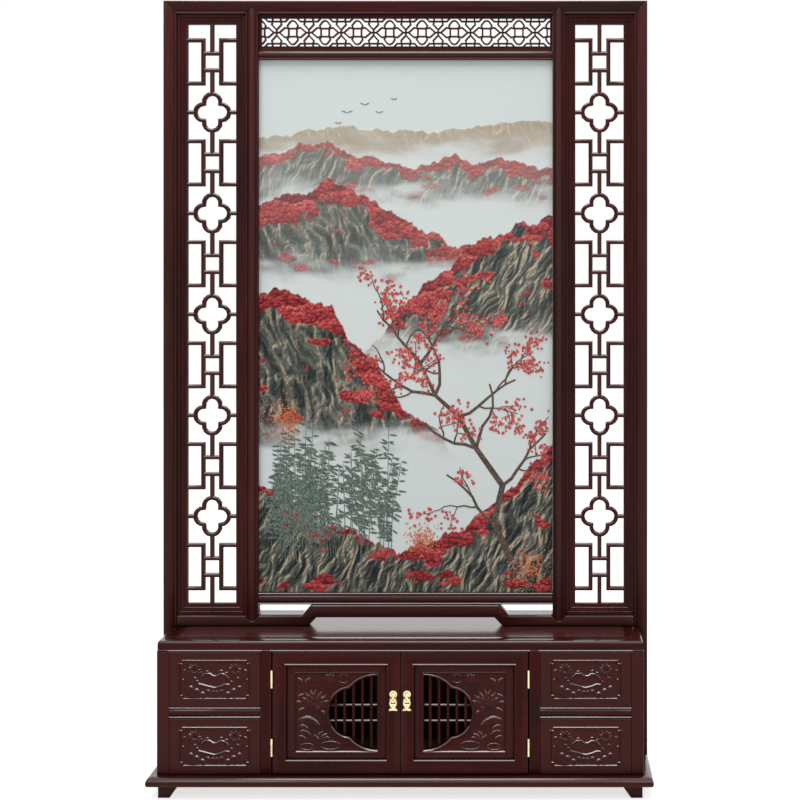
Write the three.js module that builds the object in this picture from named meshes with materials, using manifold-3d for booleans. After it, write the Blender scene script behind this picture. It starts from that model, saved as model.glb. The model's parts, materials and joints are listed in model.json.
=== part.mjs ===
// Rosewood screen cabinet: a two-door, four-drawer cabinet carrying a fretwork screen
// with a framed silk picture. Millimetres, +Z up, front towards -Y, origin on the floor.
import * as THREE from 'three';
import { mergeVertices } from 'three/addons/utils/BufferGeometryUtils.js';
import Module from 'manifold-3d';

const wasm = await Module();
wasm.setup();

// Clearances
const seat = 0.3;
const doorGap = 1.5;
const drawerGap = 0.6;

// Plinth and feet
const plinthOverhang = 22.2;
const plinthDepth = 380;
const footHeight = 32.8;
const footInset = 25;
const footWide = 50.7;
const footNarrow = 27.4;
const footBoard = 20;
const plinthHeight = 22.2;
const plinthBar = 70;
const floorThickness = 8;

// Carcass
const cabinetWidth = 1155.6;
const cabinetDepth = 332;
const postWidth = 29.2;
const postEase = 3;
const carcassHeight = 292;
const topThickness = 25;
const topFrameWidth = 42;
const topPanelThickness = 17;
const topBead = 4;
const sideRecess = 13.9;
const sideThickness = 12;
const backRecess = 12;
const backThickness = 8;
const compartmentHalf = 306;
const partitionThickness = 25.7;
const dividerRise = 147;
const dividerHeight = 25.7;
const railDepth = 20;
const dustBoard = 8;

// Doors and their fittings
const hingeGap = 3.2;
const doorThickness = 20;
const doorStile = 32.5;
const doorFoot = 3;
const doorHead = 1;
const panelThickness = 10;
const panelSetback = 5;
const grilleThickness = 3.5;
const grilleBar = 6.5;
const grillePitch = 21.2;
const grilleUprights = 5;
const grilleFirst = 17;
const grilleSpread = 18.7;
const grilleDrop = 3.2;
const grilleRim = 6;
const windowHeight = 177.5;
const windowEdge = 19.5;
const windowDrop = 1.2;
const topLobeWide = 80.6;
const topLobeHigh = 67.5;
const sideLobeReach = 68;
const sideLobeWide = 49;
const windowSteps = 6;
const hingeHeight = 42;
const hingeInset = 42;
const hingeLeaf = 1;
const hingeLeafDepth = 16;
const leafSetback = 1;
const leafLap = 0.1;
const webSetback = 1;
const knuckleRadius = 3;
const pinRadius = 1.2;
const knuckleSides = 10;
const pullInset = 15.5;
const pullRise = 191.5;
const plateRadius = 9;
const plateThickness = 2;
const plateSides = 20;
const cheekReach = 6;
const cheekThickness = 1.5;
const pullPinRadius = 1;
const pullKnuckle = 2.6;
const dropLength = 37.2;
const dropThickness = 3;
const dropNeck = 1.8;
const dropHoleRadius = 1.3;
const dropHoles = [11.4, 25.4];
const dropBowLevel = 18;
const dropBowHalf = 5.4;
const dropBowEnd = 2;
const dropBowWaist = 1;
const dropOutline = [
  [0, 1.2],
  [2.4, 0],
  [10.5, 0],
  [8.6, 3.6],
  [7.1, 6.4],
  [4.6, 5.4],
  [3.6, 7.4],
  [6.6, 10.8],
  [8.4, 14.4],
  [8.9, 18],
  [8.2, 21.6],
  [7.4, 25.6],
  [7.6, 30.4],
  [5.2, 27.8],
  [3.2, 28.2],
  [2.2, 31.4],
];

// Drawers
const drawerFrontThickness = 20;
const drawerWall = 8;
const drawerBottom = 5;
const drawerDepth = 270;
const drawerHeight = 124;

// Screen
const screenFrameWidth = 32.6;
const screenDepth = 40;
const screenHeight = 1915;
const innerPostOffset = 378.8;
const innerPostWidth = 31.4;
const backEase = 3;
const outerEase = 2;
const fretHeight = 91.4;
const lowRailHeight = 28.6;
const pictureRailDepth = 30;
const topRailHeight = 21;
const railGroove = 3.5;
const humpThickness = 36;
const humpEndHeight = 27.2;
const humpRise = 25.8;
const humpBand = 31.6;
const humpHalf = 232;
const humpSlope = 23.5;
const humpArchIn = 12.3;
const humpFootOut = 8;
const footMitre = 12;
const fabricThickness = 3;
const fabricFace = -5;
const backingThickness = 6;

// Fretwork
const latticeFrame = 24.6;
const latticeFoot = 27.3;
const latticeFrameDepth = 24;
const barWidth = 10;
const barDepth = 10;
const bracketFoot = 89.5;
const bracketHead = 91.9;
const latticeBrackets = 6;
const bracketHalf = 22;
const bracketRise = 107;
const squareRise = 41.6;
const foilHalfWide = 42;
const foilHalfHigh = 46;
const foilLobe = 20.5;
const foilSteps = 6;
const fretFrame = 6;
const fretSill = 12.2;
const fretHead = 9.4;
const fretBar = 4;
const fretDepth = 9;
const fretFrameDepth = 16;
const fretUnits = 9;
const fretSquare = 10;
const fretBulge = 3.3;
const fretSwell = 7;
const fretCrown = 6;
const fretArch = 2.5;
const fretClear = 6;
const fretReach = 9.5;
const fretShoulder = 2;
const fretTuck = 7.5;
const fretLink = 6.8;
const fretBite = 1;
const fretLap = 2;
const fretShelf = 8.2;
const fretSpread = 21.5;
const fretSplay = 8;

// Derived levels and lines
const plinthWidth = cabinetWidth + 2 * plinthOverhang;
const plinthBase = footHeight;
const plinthTop = footHeight + plinthHeight;
const carcassTop = plinthTop + carcassHeight;
const cabinetTop = carcassTop + topThickness;
const halfWidth = cabinetWidth / 2;
const halfDepth = cabinetDepth / 2;
const front = -halfDepth;
const postInner = halfWidth - postWidth;
const sideOuter = halfWidth - sideRecess;
const backFace = halfDepth - backRecess;
const backInner = backFace - backThickness;
const partitionOuter = compartmentHalf + partitionThickness;
const dividerCentre = plinthTop + dividerRise;
const dividerTop = dividerCentre + dividerHeight / 2;
const dividerFoot = dividerCentre - dividerHeight / 2;
const screenHalf = sideOuter + screenFrameWidth;
const innerPostIn = innerPostOffset - innerPostWidth / 2;
const innerPostOut = innerPostOffset + innerPostWidth / 2;
const crestFoot = screenHeight - screenFrameWidth;
const fretFoot = crestFoot - fretHeight;
const pictureTop = fretFoot - topRailHeight;
const lowRailTop = cabinetTop + humpEndHeight;
const humpTop = lowRailTop + humpRise;
const pictureBottom = humpTop + lowRailHeight;
const pullHeight = plinthTop + pullRise;

// Materials
const wood = (colour) => new THREE.MeshStandardMaterial({ color: colour, roughness: 0.35, metalness: 0 });
const rosewood = wood(0x3a1f20);
const screenWood = wood(0x46302e);
const innerWood = wood(0x6b4a38);
const brass = new THREE.MeshStandardMaterial({ color: 0xc9b27a, roughness: 0.3, metalness: 1 });
const silk = new THREE.MeshStandardMaterial({ color: 0xd0dada, roughness: 0.7, metalness: 0 });
const board = new THREE.MeshStandardMaterial({ color: 0x8a6f55, roughness: 0.8, metalness: 0 });

const cabinet = new THREE.Group();

// Adds one named piece
function addPiece(name, geometry, material) {
  const mesh = new THREE.Mesh(geometry, material);
  mesh.name = name;
  cabinet.add(mesh);
}

// Turns a closed geometry into a solid for joining and cutting
function toSolid(geometry) {
  const bare = geometry.index ? geometry.clone() : geometry;
  bare.deleteAttribute('normal');
  bare.deleteAttribute('uv');
  const merged = mergeVertices(bare, 1e-4);
  return new wasm.Manifold(new wasm.Mesh({
    numProp: 3,
    vertProperties: new Float32Array(merged.attributes.position.array),
    triVerts: new Uint32Array(merged.index.array),
  }));
}

// Turns a solid back into a geometry
function toGeometry(solid) {
  const mesh = solid.getMesh();
  const geometry = new THREE.BufferGeometry();
  geometry.setAttribute('position', new THREE.BufferAttribute(new Float32Array(mesh.vertProperties), 3));
  geometry.setIndex(new THREE.BufferAttribute(new Uint32Array(mesh.triVerts), 1));
  return geometry;
}

// Joins geometries into one body
function join(geometries) {
  return toGeometry(geometries.map(toSolid).reduce((whole, next) => whole.add(next)));
}

// Cuts the second geometry out of the first
function cut(geometry, tool) {
  return toGeometry(toSolid(geometry).subtract(toSolid(tool)));
}

// A block between two corners
function block(x0, x1, y0, y1, z0, z1) {
  const geometry = new THREE.BoxGeometry(x1 - x0, y1 - y0, z1 - z0);
  return geometry.translate((x0 + x1) / 2, (y0 + y1) / 2, (z0 + z1) / 2);
}

// A vertical or upright profile drawn in X and Z, with its depth along Y
function upright(shape, y0, y1) {
  const geometry = new THREE.ExtrudeGeometry(shape, { depth: y1 - y0, bevelEnabled: false });
  return geometry.rotateX(Math.PI / 2).translate(0, y1, 0);
}

// A section drawn in Y and Z and run along X
function alongX(points, x0, x1) {
  const geometry = new THREE.ExtrudeGeometry(polygon(points), { depth: x1 - x0, bevelEnabled: false });
  return geometry.rotateZ(Math.PI / 2).rotateY(Math.PI / 2).translate(x0, 0, 0);
}

// A closed shape, or a hole in one, through points
function polygon(points) {
  return new THREE.Shape(points.map(([u, v]) => new THREE.Vector2(u, v)));
}
function path(points) {
  return new THREE.Path(points.map(([u, v]) => new THREE.Vector2(u, v)));
}

// A frame of one moulding mitred at four corners. The profile lists inset from the edge and depth,
// and footScale and headScale widen the lowest and the highest member.
function mitredFrame(u0, u1, v0, v1, profile, place, footScale = 1, headScale = 1) {
  const corners = [[0, 0], [1, 0], [1, 1], [0, 1]];
  const positions = [];
  for (const [cornerU, cornerV] of corners) {
    for (const [inset, depth] of profile) {
      const u = cornerU ? u1 - inset : u0 + inset;
      const v = cornerV ? v1 - inset * headScale : v0 + inset * footScale;
      positions.push(...place(u, v, depth));
    }
  }
  const indices = [];
  const count = profile.length;
  for (let corner = 0; corner < corners.length; corner += 1) {
    const next = (corner + 1) % corners.length;
    for (let point = 0; point < count; point += 1) {
      const after = (point + 1) % count;
      const a = corner * count + point;
      const b = corner * count + after;
      const c = next * count + after;
      const d = next * count + point;
      indices.push(a, b, c, a, c, d);
    }
  }
  const geometry = new THREE.BufferGeometry();
  geometry.setAttribute('position', new THREE.BufferAttribute(new Float32Array(positions), 3));
  geometry.setIndex(facingOut(positions, indices));
  return geometry;
}

// Turns the faces round where they enclose a negative volume
function facingOut(positions, indices) {
  const at = (index) => new THREE.Vector3(...positions.slice(3 * index, 3 * index + 3));
  let volume = 0;
  for (let face = 0; face < indices.length; face += 3) {
    volume += at(indices[face]).dot(at(indices[face + 1]).cross(at(indices[face + 2])));
  }
  return volume < 0 ? indices.toReversed() : indices;
}

const flatPlace = (u, v, depth) => [u, v, depth];
const uprightPlace = (u, v, depth) => [u, depth, v];

// A bar of constant width that follows a line of points, drawn in X and Z
function ribbon(points, width, y0, y1) {
  const line = points.map(([u, v]) => new THREE.Vector2(u, v));
  const left = [];
  const right = [];
  line.forEach((point, index) => {
    const before = line[Math.max(index - 1, 0)];
    const after = line[Math.min(index + 1, line.length - 1)];
    const into = index > 0 ? point.clone().sub(before).normalize() : after.clone().sub(point).normalize();
    const out = index < line.length - 1 ? after.clone().sub(point).normalize() : into.clone();
    const normal = new THREE.Vector2(-into.y - out.y, into.x + out.x).normalize();
    const reach = width / 2 / normal.dot(new THREE.Vector2(-into.y, into.x));
    left.push(point.clone().addScaledVector(normal, reach));
    right.push(point.clone().addScaledVector(normal, -reach));
  });
  return upright(new THREE.Shape([...right, ...left.reverse()]), y0, y1);
}

// Points on an arc between two angles in degrees
function arc(centreU, centreV, radiusU, radiusV, from, to, steps) {
  const points = [];
  for (let step = 0; step <= steps; step += 1) {
    const angle = THREE.MathUtils.degToRad(from + ((to - from) * step) / steps);
    points.push([centreU + radiusU * Math.cos(angle), centreV + radiusV * Math.sin(angle)]);
  }
  return points;
}

// Bracket feet: two boards that meet at the corner, each with a raked inner edge
for (const [sideName, sx] of [['left', -1], ['right', 1]]) {
  for (const [depthName, sy] of [['front', -1], ['back', 1]]) {
    const edgeX = sx * (plinthWidth / 2 - footInset);
    const edgeY = sy * (plinthDepth / 2 - footInset);
    const raked = (edge, side) => [
      [edge, 0],
      [edge - side * footNarrow, 0],
      [edge - side * footWide, footHeight],
      [edge, footHeight],
    ];
    const boardY = [edgeY, edgeY - sy * footBoard].sort((a, b) => a - b);
    const boardX = [edgeX, edgeX - sx * footBoard].sort((a, b) => a - b);
    const frontBoard = upright(polygon(raked(edgeX, sx)), ...boardY);
    const sideBoard = alongX(raked(edgeY, sy), ...boardX);
    addPiece(`foot_${depthName}_${sideName}`, join([frontBoard, sideBoard]), rosewood);
  }
}

// Plinth: a mitred frame with a thumb moulding on its outer edge
const thumb = [
  [3, plinthBase],
  [1.6, plinthBase + 1.5],
  [0.5, plinthBase + 4.5],
  [0, plinthBase + 8.5],
  [0.6, plinthBase + 12.4],
  [2.2, plinthTop - 5.8],
  [5, plinthTop - 2.6],
  [9, plinthTop - 0.7],
  [14, plinthTop],
  [plinthBar, plinthTop],
  [plinthBar, plinthBase],
];
const plinthX = plinthWidth / 2;
const plinthY = plinthDepth / 2;
addPiece('plinth_frame', mitredFrame(-plinthX, plinthX, -plinthY, plinthY, thumb, flatPlace), rosewood);
const floorX = plinthX - plinthBar - seat;
const floorY = plinthY - plinthBar - seat;
const floorFoot = plinthTop - floorThickness;
addPiece('cabinet_floor', block(-floorX, floorX, -floorY, floorY, floorFoot, plinthTop), innerWood);

// Corner posts with a quarter-round outer edge
function cornerPost(sx, sy) {
  const shape = new THREE.Shape();
  const inset = halfDepth - postWidth;
  shape.moveTo(sx * postInner, sy * inset);
  shape.lineTo(sx * halfWidth, sy * inset);
  for (const [u, v] of arc(0, 0, postEase, postEase, 0, 90, 3)) {
    shape.lineTo(sx * (halfWidth - postEase + u), sy * (halfDepth - postEase + v));
  }
  shape.lineTo(sx * postInner, sy * halfDepth);
  const geometry = new THREE.ExtrudeGeometry(shape, { depth: carcassHeight, bevelEnabled: false });
  return geometry.translate(0, 0, plinthTop);
}
for (const [sideName, sx] of [['left', -1], ['right', 1]]) {
  for (const [depthName, sy] of [['front', -1], ['back', 1]]) {
    addPiece(`corner_post_${depthName}_${sideName}`, cornerPost(sx, sy), rosewood);
  }
}

// Top frame, notched round the screen posts, with its floating panel
const topProfile = [
  [1.5, carcassTop],
  [0, carcassTop + topBead / 2],
  [1.5, carcassTop + topBead],
  [1.5, cabinetTop - 5],
  [2.5, cabinetTop - 2],
  [5, cabinetTop],
  [topFrameWidth, cabinetTop],
  [topFrameWidth, carcassTop],
];
const notchIn = sideOuter - seat;
const notchHalf = screenDepth / 2 + seat;
let topFrame = mitredFrame(-halfWidth, halfWidth, -halfDepth, halfDepth, topProfile, flatPlace);
for (const sx of [-1, 1]) {
  const [x0, x1] = sx < 0 ? [-halfWidth - 1, -notchIn] : [notchIn, halfWidth + 1];
  topFrame = cut(topFrame, block(x0, x1, -notchHalf, notchHalf, carcassTop - 1, cabinetTop + 1));
}
addPiece('top_frame', topFrame, rosewood);
const topPanelX = halfWidth - topFrameWidth - seat;
const topPanelY = halfDepth - topFrameWidth - seat;
const topPanelFoot = cabinetTop - topPanelThickness;
const topPanel = block(-topPanelX, topPanelX, -topPanelY, topPanelY, topPanelFoot, cabinetTop);
addPiece('top_panel', topPanel, rosewood);

// A front edge with a half-round bead on each side, drawn across U from the front inwards
function beadedEdge(u0, u1, v0, v1) {
  const bead = 4;
  return [
    [u0, v0 + 1.5],
    [u0 + bead / 2, v0],
    [u0 + bead, v0 + 1.5],
    [u1 - bead, v0 + 1.5],
    [u1 - bead / 2, v0],
    [u1, v0 + 1.5],
    [u1, v1],
    [u0, v1],
  ];
}

// Partitions, drawer dividers, side panels
for (const [sideName, sx] of [['left', -1], ['right', 1]]) {
  const lines = [sx * compartmentHalf, sx * partitionOuter].sort((a, b) => a - b);
  const section = polygon(beadedEdge(...lines, front, backInner));
  const partition = new THREE.ExtrudeGeometry(section, { depth: carcassHeight, bevelEnabled: false });
  addPiece(`partition_${sideName}`, partition.translate(0, 0, plinthTop), rosewood);

  const railSection = [
    [front + 1.5, dividerFoot],
    [front, dividerFoot + 2],
    [front + 2.6, dividerFoot + 4.6],
    [front + 0.5, dividerFoot + 8.5],
    [front + 0.5, dividerTop - 8.5],
    [front + 2.6, dividerTop - 4.6],
    [front, dividerTop - 2],
    [front + 1.5, dividerTop],
    [backInner, dividerTop],
    [backInner, dividerTop - dustBoard],
    [front + railDepth, dividerTop - dustBoard],
    [front + railDepth, dividerFoot],
  ].reverse();
  const bay = [sx * (partitionOuter + seat), sx * (postInner - seat)].sort((a, b) => a - b);
  addPiece(`drawer_divider_${sideName}`, alongX(railSection, ...bay), rosewood);

  const sideX = [sx * (sideOuter - seat), sx * (sideOuter - sideThickness)].sort((a, b) => a - b);
  const sideY = halfDepth - postWidth;
  addPiece(`side_panel_${sideName}`, block(...sideX, -sideY, sideY, plinthTop, carcassTop), rosewood);
}
addPiece('back_panel', block(-postInner, postInner, backInner, backFace, plinthTop, carcassTop), rosewood);

// The screen's moulding beside an opening: distance from the opening and depth behind the face
const screenFace = screenDepth / 2;
const screenMoulding = [
  [0, 3.6],
  [1.2, 1.8],
  [4.2, 1.8],
  [5.2, 4],
  [13.6, 0],
];
const mouldingWidth = 13.6;
const frameSection = [
  ...screenMoulding,
  [screenFrameWidth - outerEase, 0],
  [screenFrameWidth, outerEase],
  [screenFrameWidth, screenDepth - outerEase],
  [screenFrameWidth - outerEase, screenDepth],
  [backEase, screenDepth],
  [0, screenDepth - backEase],
];
const innerSection = [
  ...screenMoulding,
  ...screenMoulding.map(([u, depth]) => [innerPostWidth - u, depth]).toReversed(),
  [innerPostWidth, screenDepth - backEase],
  [innerPostWidth - backEase, screenDepth],
  [backEase, screenDepth],
  [0, screenDepth - backEase],
];

// A post of a section whose first edge stands at x and whose width runs towards sx
function screenUpright(section, x, sx, z0, z1) {
  const shape = polygon(section.map(([u, depth]) => [x + sx * u, depth - screenFace]));
  return new THREE.ExtrudeGeometry(shape, { depth: z1 - z0, bevelEnabled: false }).translate(0, 0, z0);
}

// A tool that cuts through the whole depth of the screen
function throughScreen(points) {
  return upright(polygon(points), -screenDepth, screenDepth);
}

// Outer posts and crest are mitred at the corners. The inner posts end in a mitred tongue that
// sits in a notch of the crest above and of the stretcher below.
const slant = seat * Math.SQRT2;
const over = 5;
const crestSection = frameSection.map(([u, depth]) => [depth - screenFace, crestFoot + u]);
let crest = alongX(crestSection, -screenHalf, screenHalf);
const tongueHalf = innerPostWidth / 2;
for (const [sideName, sx] of [['left', -1], ['right', 1]]) {
  const corner = throughScreen([
    [sx * (screenHalf + over), screenHeight + over],
    [sx * (sideOuter - over), screenHeight + over],
    [sx * (sideOuter - over), crestFoot - over],
  ]);
  const outerPost = screenUpright(frameSection, sx * sideOuter, sx, plinthTop, screenHeight);
  addPiece(`screen_post_${sideName}`, cut(outerPost, corner), screenWood);
  crest = cut(crest, throughScreen([
    [sx * (screenHalf + over - slant), screenHeight + over],
    [sx * (screenHalf + 2 * over), screenHeight + over],
    [sx * (screenHalf + 2 * over), crestFoot - over],
    [sx * (sideOuter - over - slant), crestFoot - over],
  ]));
  const middle = sx * innerPostOffset;
  crest = cut(crest, throughScreen([
    [middle - tongueHalf - slant - over, crestFoot - over],
    [middle - tongueHalf - slant + mouldingWidth + seat, crestFoot + mouldingWidth + seat],
    [middle + tongueHalf + slant - mouldingWidth - seat, crestFoot + mouldingWidth + seat],
    [middle + tongueHalf + slant + over, crestFoot - over],
  ]));
  const tongueTop = crestFoot + mouldingWidth;
  const tongueFoot = lowRailTop - footMitre;
  let innerPost = screenUpright(innerSection, sx * innerPostIn, sx, tongueFoot, tongueTop);
  for (const along of [-1, 1]) {
    const side = middle + along * tongueHalf;
    innerPost = cut(innerPost, throughScreen([
      [side + along * over, crestFoot - over],
      [side + along * over, tongueTop + over],
      [side - along * (mouldingWidth + over), tongueTop + over],
    ]));
    innerPost = cut(innerPost, throughScreen([
      [side + along * over, lowRailTop + over],
      [side + along * over, tongueFoot - over],
      [side - along * (footMitre + over), tongueFoot - over],
    ]));
  }
  addPiece(`inner_post_${sideName}`, innerPost, screenWood);
}
addPiece('crest_rail', crest, screenWood);

// A picture rail: a half-round bar with a bead on its lower edge and, where asked, on its upper edge
function pictureRail(z0, z1, headBead) {
  const face = -pictureRailDepth / 2;
  const back = pictureRailDepth / 2;
  const bead = [[0, 1.5], [1, 0], [3, 0], [4, 1.5], [4.6, railGroove]];
  const barFoot = z0 + 4.6;
  const barHead = headBead ? z1 - 4.6 : z1;
  const bar = [[2, 1.4], [6, 0]];
  const section = [
    ...bead.map(([rise, depth]) => [face + depth, z0 + rise]),
    ...bar.map(([rise, depth]) => [face + depth, barFoot + rise]),
    ...bar.toReversed().map(([rise, depth]) => [face + depth, barHead - rise]),
    ...(headBead ? bead : [[0, railGroove]]).toReversed().map(([rise, depth]) => [face + depth, z1 - rise]),
    [back - backEase, z1],
    [back, z1 - backEase],
    [back, z0 + backEase],
    [back - backEase, z0],
  ];
  return alongX(section, -innerPostIn, innerPostIn);
}
addPiece('picture_top_rail', pictureRail(pictureTop, fretFoot, false), screenWood);
addPiece('picture_bottom_rail', pictureRail(humpTop, pictureBottom, true), screenWood);

// The stretcher runs from post to post and rises in a flat hump under the picture
const humpUnder = humpTop - humpBand;
const humpOutline = polygon([
  [-sideOuter, cabinetTop],
  [-humpHalf - humpFootOut, cabinetTop],
  [-humpHalf + humpArchIn, humpUnder],
  [humpHalf - humpArchIn, humpUnder],
  [humpHalf + humpFootOut, cabinetTop],
  [sideOuter, cabinetTop],
  [sideOuter, lowRailTop],
  [humpHalf + humpSlope, lowRailTop],
  [humpHalf, humpTop],
  [-humpHalf, humpTop],
  [-humpHalf - humpSlope, lowRailTop],
  [-sideOuter, lowRailTop],
]);
let humpRail = upright(humpOutline, -humpThickness / 2, humpThickness / 2);
for (const sx of [-1, 1]) {
  const middle = sx * innerPostOffset;
  humpRail = cut(humpRail, throughScreen([
    [middle - tongueHalf - slant - over, lowRailTop + over],
    [middle - tongueHalf - slant + footMitre + seat, lowRailTop - footMitre - seat],
    [middle + tongueHalf + slant - footMitre - seat, lowRailTop - footMitre - seat],
    [middle + tongueHalf + slant + over, lowRailTop + over],
  ]));
}
addPiece('hump_rail', humpRail, screenWood);

// The silk picture and the board behind it
const clothX = innerPostIn - seat;
const clothFoot = pictureBottom + seat;
const clothTop = pictureTop - seat;
const clothBack = fabricFace + fabricThickness;
addPiece('embroidery', block(-clothX, clothX, fabricFace, clothBack, clothFoot, clothTop), silk);
const boardFace = clothBack + seat;
const boardBack = boardFace + backingThickness;
addPiece('backing_board', block(-clothX, clothX, boardFace, boardBack, clothFoot, clothTop), board);

// Side lattice: stepped frame, brackets, small squares and quatrefoils on one centre bar
function quatrefoil(u, v) {
  const reachU = foilHalfWide - foilLobe;
  const reachV = foilHalfHigh - foilLobe;
  const apart = Math.hypot(reachU, reachV);
  const bulge = Math.sqrt(foilLobe ** 2 - (apart / 2) ** 2);
  const cuspU = reachU / 2 + (bulge * reachV) / apart;
  const cuspV = reachV / 2 + (bulge * reachU) / apart;
  const sideTurn = THREE.MathUtils.radToDeg(Math.atan2(cuspV, cuspU - reachU));
  const topTurn = THREE.MathUtils.radToDeg(Math.atan2(cuspV - reachV, cuspU));
  const lobe = (centreU, centreV, from, to) => {
    return arc(centreU, centreV, foilLobe, foilLobe, from, to, foilSteps).slice(1);
  };
  return [
    ...lobe(u + reachU, v, -sideTurn, sideTurn),
    ...lobe(u, v + reachV, topTurn, 180 - topTurn),
    ...lobe(u - reachU, v, 180 - sideTurn, 180 + sideTurn),
    ...lobe(u, v - reachV, 180 + topTurn, 360 - topTurn),
  ];
}

// A closed bar round an outline of points
function closedRibbon(points, width, y0, y1) {
  const grow = (amount) => points.map(([u, v], index) => {
    const before = points[(index + points.length - 1) % points.length];
    const after = points[(index + 1) % points.length];
    const along = new THREE.Vector2(after[0] - before[0], after[1] - before[1]).normalize();
    return new THREE.Vector2(u + along.y * amount, v - along.x * amount);
  });
  const shape = new THREE.Shape(grow(width / 2));
  shape.holes.push(new THREE.Path(grow(-width / 2)));
  return upright(shape, y0, y1);
}

function sideLattice(x0, x1, z0, z1) {
  const centre = (x0 + x1) / 2;
  const half = latticeFrameDepth / 2;
  const step = latticeFrame / 3;
  const profile = [
    [0, -half],
    [step - 1, -half],
    [step, 3 - half],
    [2 * step - 1, 3 - half],
    [2 * step, 5 - half],
    [latticeFrame, 5 - half],
    [latticeFrame, half - 5],
    [2 * step, half - 5],
    [2 * step - 1, half - 3],
    [step, half - 3],
    [step - 1, half],
    [0, half],
  ];
  const y0 = -barDepth / 2;
  const y1 = barDepth / 2;
  const bite = 1.5;
  const openLeft = x0 + latticeFrame - bite;
  const openRight = x1 - latticeFrame + bite;
  const openFoot = z0 + latticeFoot;
  const openTop = z1 - latticeFrame;
  const footScale = latticeFoot / latticeFrame;
  const pieces = [mitredFrame(x0, x1, z0, z1, profile, uprightPlace, footScale)];
  const pitch = (openTop - bracketHead - openFoot - bracketFoot) / (latticeBrackets - 1);
  for (let index = 0; index < latticeBrackets; index += 1) {
    const level = openFoot + bracketFoot + index * pitch;
    for (const side of [-1, 1]) {
      const edge = side < 0 ? openLeft : openRight;
      const stem = centre + side * bracketHalf;
      const bracket = [
        [edge, level + bracketRise / 2],
        [stem, level + bracketRise / 2],
        [stem, level - bracketRise / 2],
        [edge, level - bracketRise / 2],
      ];
      pieces.push(ribbon(bracket, barWidth, y0, y1));
    }
    for (const side of [-1, 1]) {
      const z = level + (side * squareRise) / 2;
      pieces.push(ribbon([[centre - bracketHalf, z], [centre + bracketHalf, z]], barWidth, y0, y1));
    }
    const below = index > 0 ? level - pitch / 2 + foilHalfHigh : openFoot - bite;
    const above = index < latticeBrackets - 1 ? level + pitch / 2 - foilHalfHigh : openTop + bite;
    pieces.push(ribbon([[centre, below], [centre, level - squareRise / 2]], barWidth, y0, y1));
    pieces.push(ribbon([[centre, level + squareRise / 2], [centre, above]], barWidth, y0, y1));
    if (index > 0) {
      const foil = level - pitch / 2;
      pieces.push(closedRibbon(quatrefoil(centre, foil), barWidth, y0, y1));
      pieces.push(ribbon([[openLeft, foil], [centre - foilHalfWide, foil]], barWidth, y0, y1));
      pieces.push(ribbon([[centre + foilHalfWide, foil], [openRight, foil]], barWidth, y0, y1));
    }
  }
  return join(pieces);
}
const latticeSill = lowRailTop + seat;
const latticeTop = crestFoot - seat;
for (const [sideName, sx] of [['left', -1], ['right', 1]]) {
  const edges = [sx * (innerPostOut + seat), sx * (sideOuter - seat)].sort((a, b) => a - b);
  addPiece(`lattice_${sideName}`, sideLattice(...edges, latticeSill, latticeTop), screenWood);
}

// Top fret: small squares with four pointed petals, cut in half at both ends, and shelves with
// petals that point inwards on the rails between them
function topFret() {
  const x1 = innerPostIn - seat;
  const z0 = fretFoot + seat;
  const z1 = crestFoot - seat;
  const half = fretFrameDepth / 2;
  const profile = [[0, -half], [fretFrame, -half], [fretFrame, half], [0, half]];
  const sillScale = fretSill / fretFrame;
  const headScale = fretHead / fretFrame;
  const pieces = [mitredFrame(-x1, x1, z0, z1, profile, uprightPlace, sillScale, headScale)];
  const y0 = -fretDepth / 2;
  const y1 = fretDepth / 2;
  const centre = (z0 + fretSill + z1 - fretHead) / 2;
  const pitch = (2 * x1 - fretFrame) / fretUnits;
  const rise = (z1 - z0 - fretSill - fretHead) / 2 + fretBite;
  const tip = pitch / 2 - fretLink;
  const top = rise - fretClear;
  const shelf = rise - fretShelf;
  const uprightPetal = [
    [fretSquare, fretSquare],
    [fretSquare + fretBulge, fretSquare + fretSwell],
    [fretCrown, top - fretArch],
    [0, top],
  ];
  const sidePetal = [[fretSquare, fretSquare], [fretSquare + fretReach, fretSquare + fretShoulder], [tip, 0]];
  const shelfPetal = [[fretSquare, shelf], [fretSquare + fretShoulder, shelf - fretTuck], [0, fretLink]];
  const link = fretLink + fretLap;
  const square = [[0, fretSquare], [fretSquare, fretSquare], [fretSquare, -fretSquare], [0, -fretSquare]];
  const run = (points, u, along, up) => {
    pieces.push(ribbon(points.map(([x, z]) => [u + along * x, centre + up * z]), fretBar, y0, y1));
  };
  for (let unit = 0; unit <= fretUnits; unit += 1) {
    const u = (unit - fretUnits / 2) * pitch;
    const sides = [-1, 1].filter((along) => unit + along >= 0 && unit + along <= fretUnits);
    for (const along of sides) {
      run(square, u, along, 1);
      for (const up of [-1, 1]) {
        run(uprightPetal, u, along, up);
        run(sidePetal, u, along, up);
      }
    }
  }
  const wide = fretSpread + fretSplay;
  for (let node = 0; node < fretUnits; node += 1) {
    const u = (node - (fretUnits - 1) / 2) * pitch;
    run([[0, -link], [0, link]], u, 1, 1);
    run([[-link, 0], [link, 0]], u, 1, 1);
    for (const up of [-1, 1]) {
      run([[-wide, rise], [-fretSpread, shelf], [fretSpread, shelf], [wide, rise]], u, 1, up);
      for (const along of [-1, 1]) {
        run([[fretSquare, shelf], [fretSquare, rise]], u, along, up);
        run(shelfPetal, u, along, up);
      }
    }
  }
  return join(pieces);
}
addPiece('top_fret', topFret(), screenWood);

// Doors
const doorX0 = doorGap / 2;
const doorX1 = compartmentHalf - hingeGap;
const doorZ0 = plinthTop + doorFoot;
const doorZ1 = carcassTop - doorHead;
const doorBack = front + doorThickness;
const panelX0 = doorX0 + doorStile + seat;
const panelX1 = doorX1 - doorStile - seat;
const panelZ0 = doorZ0 + doorStile + seat;
const panelZ1 = doorZ1 - doorStile - seat;
const windowCentre = (panelZ0 + panelZ1) / 2 - windowDrop;

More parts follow.
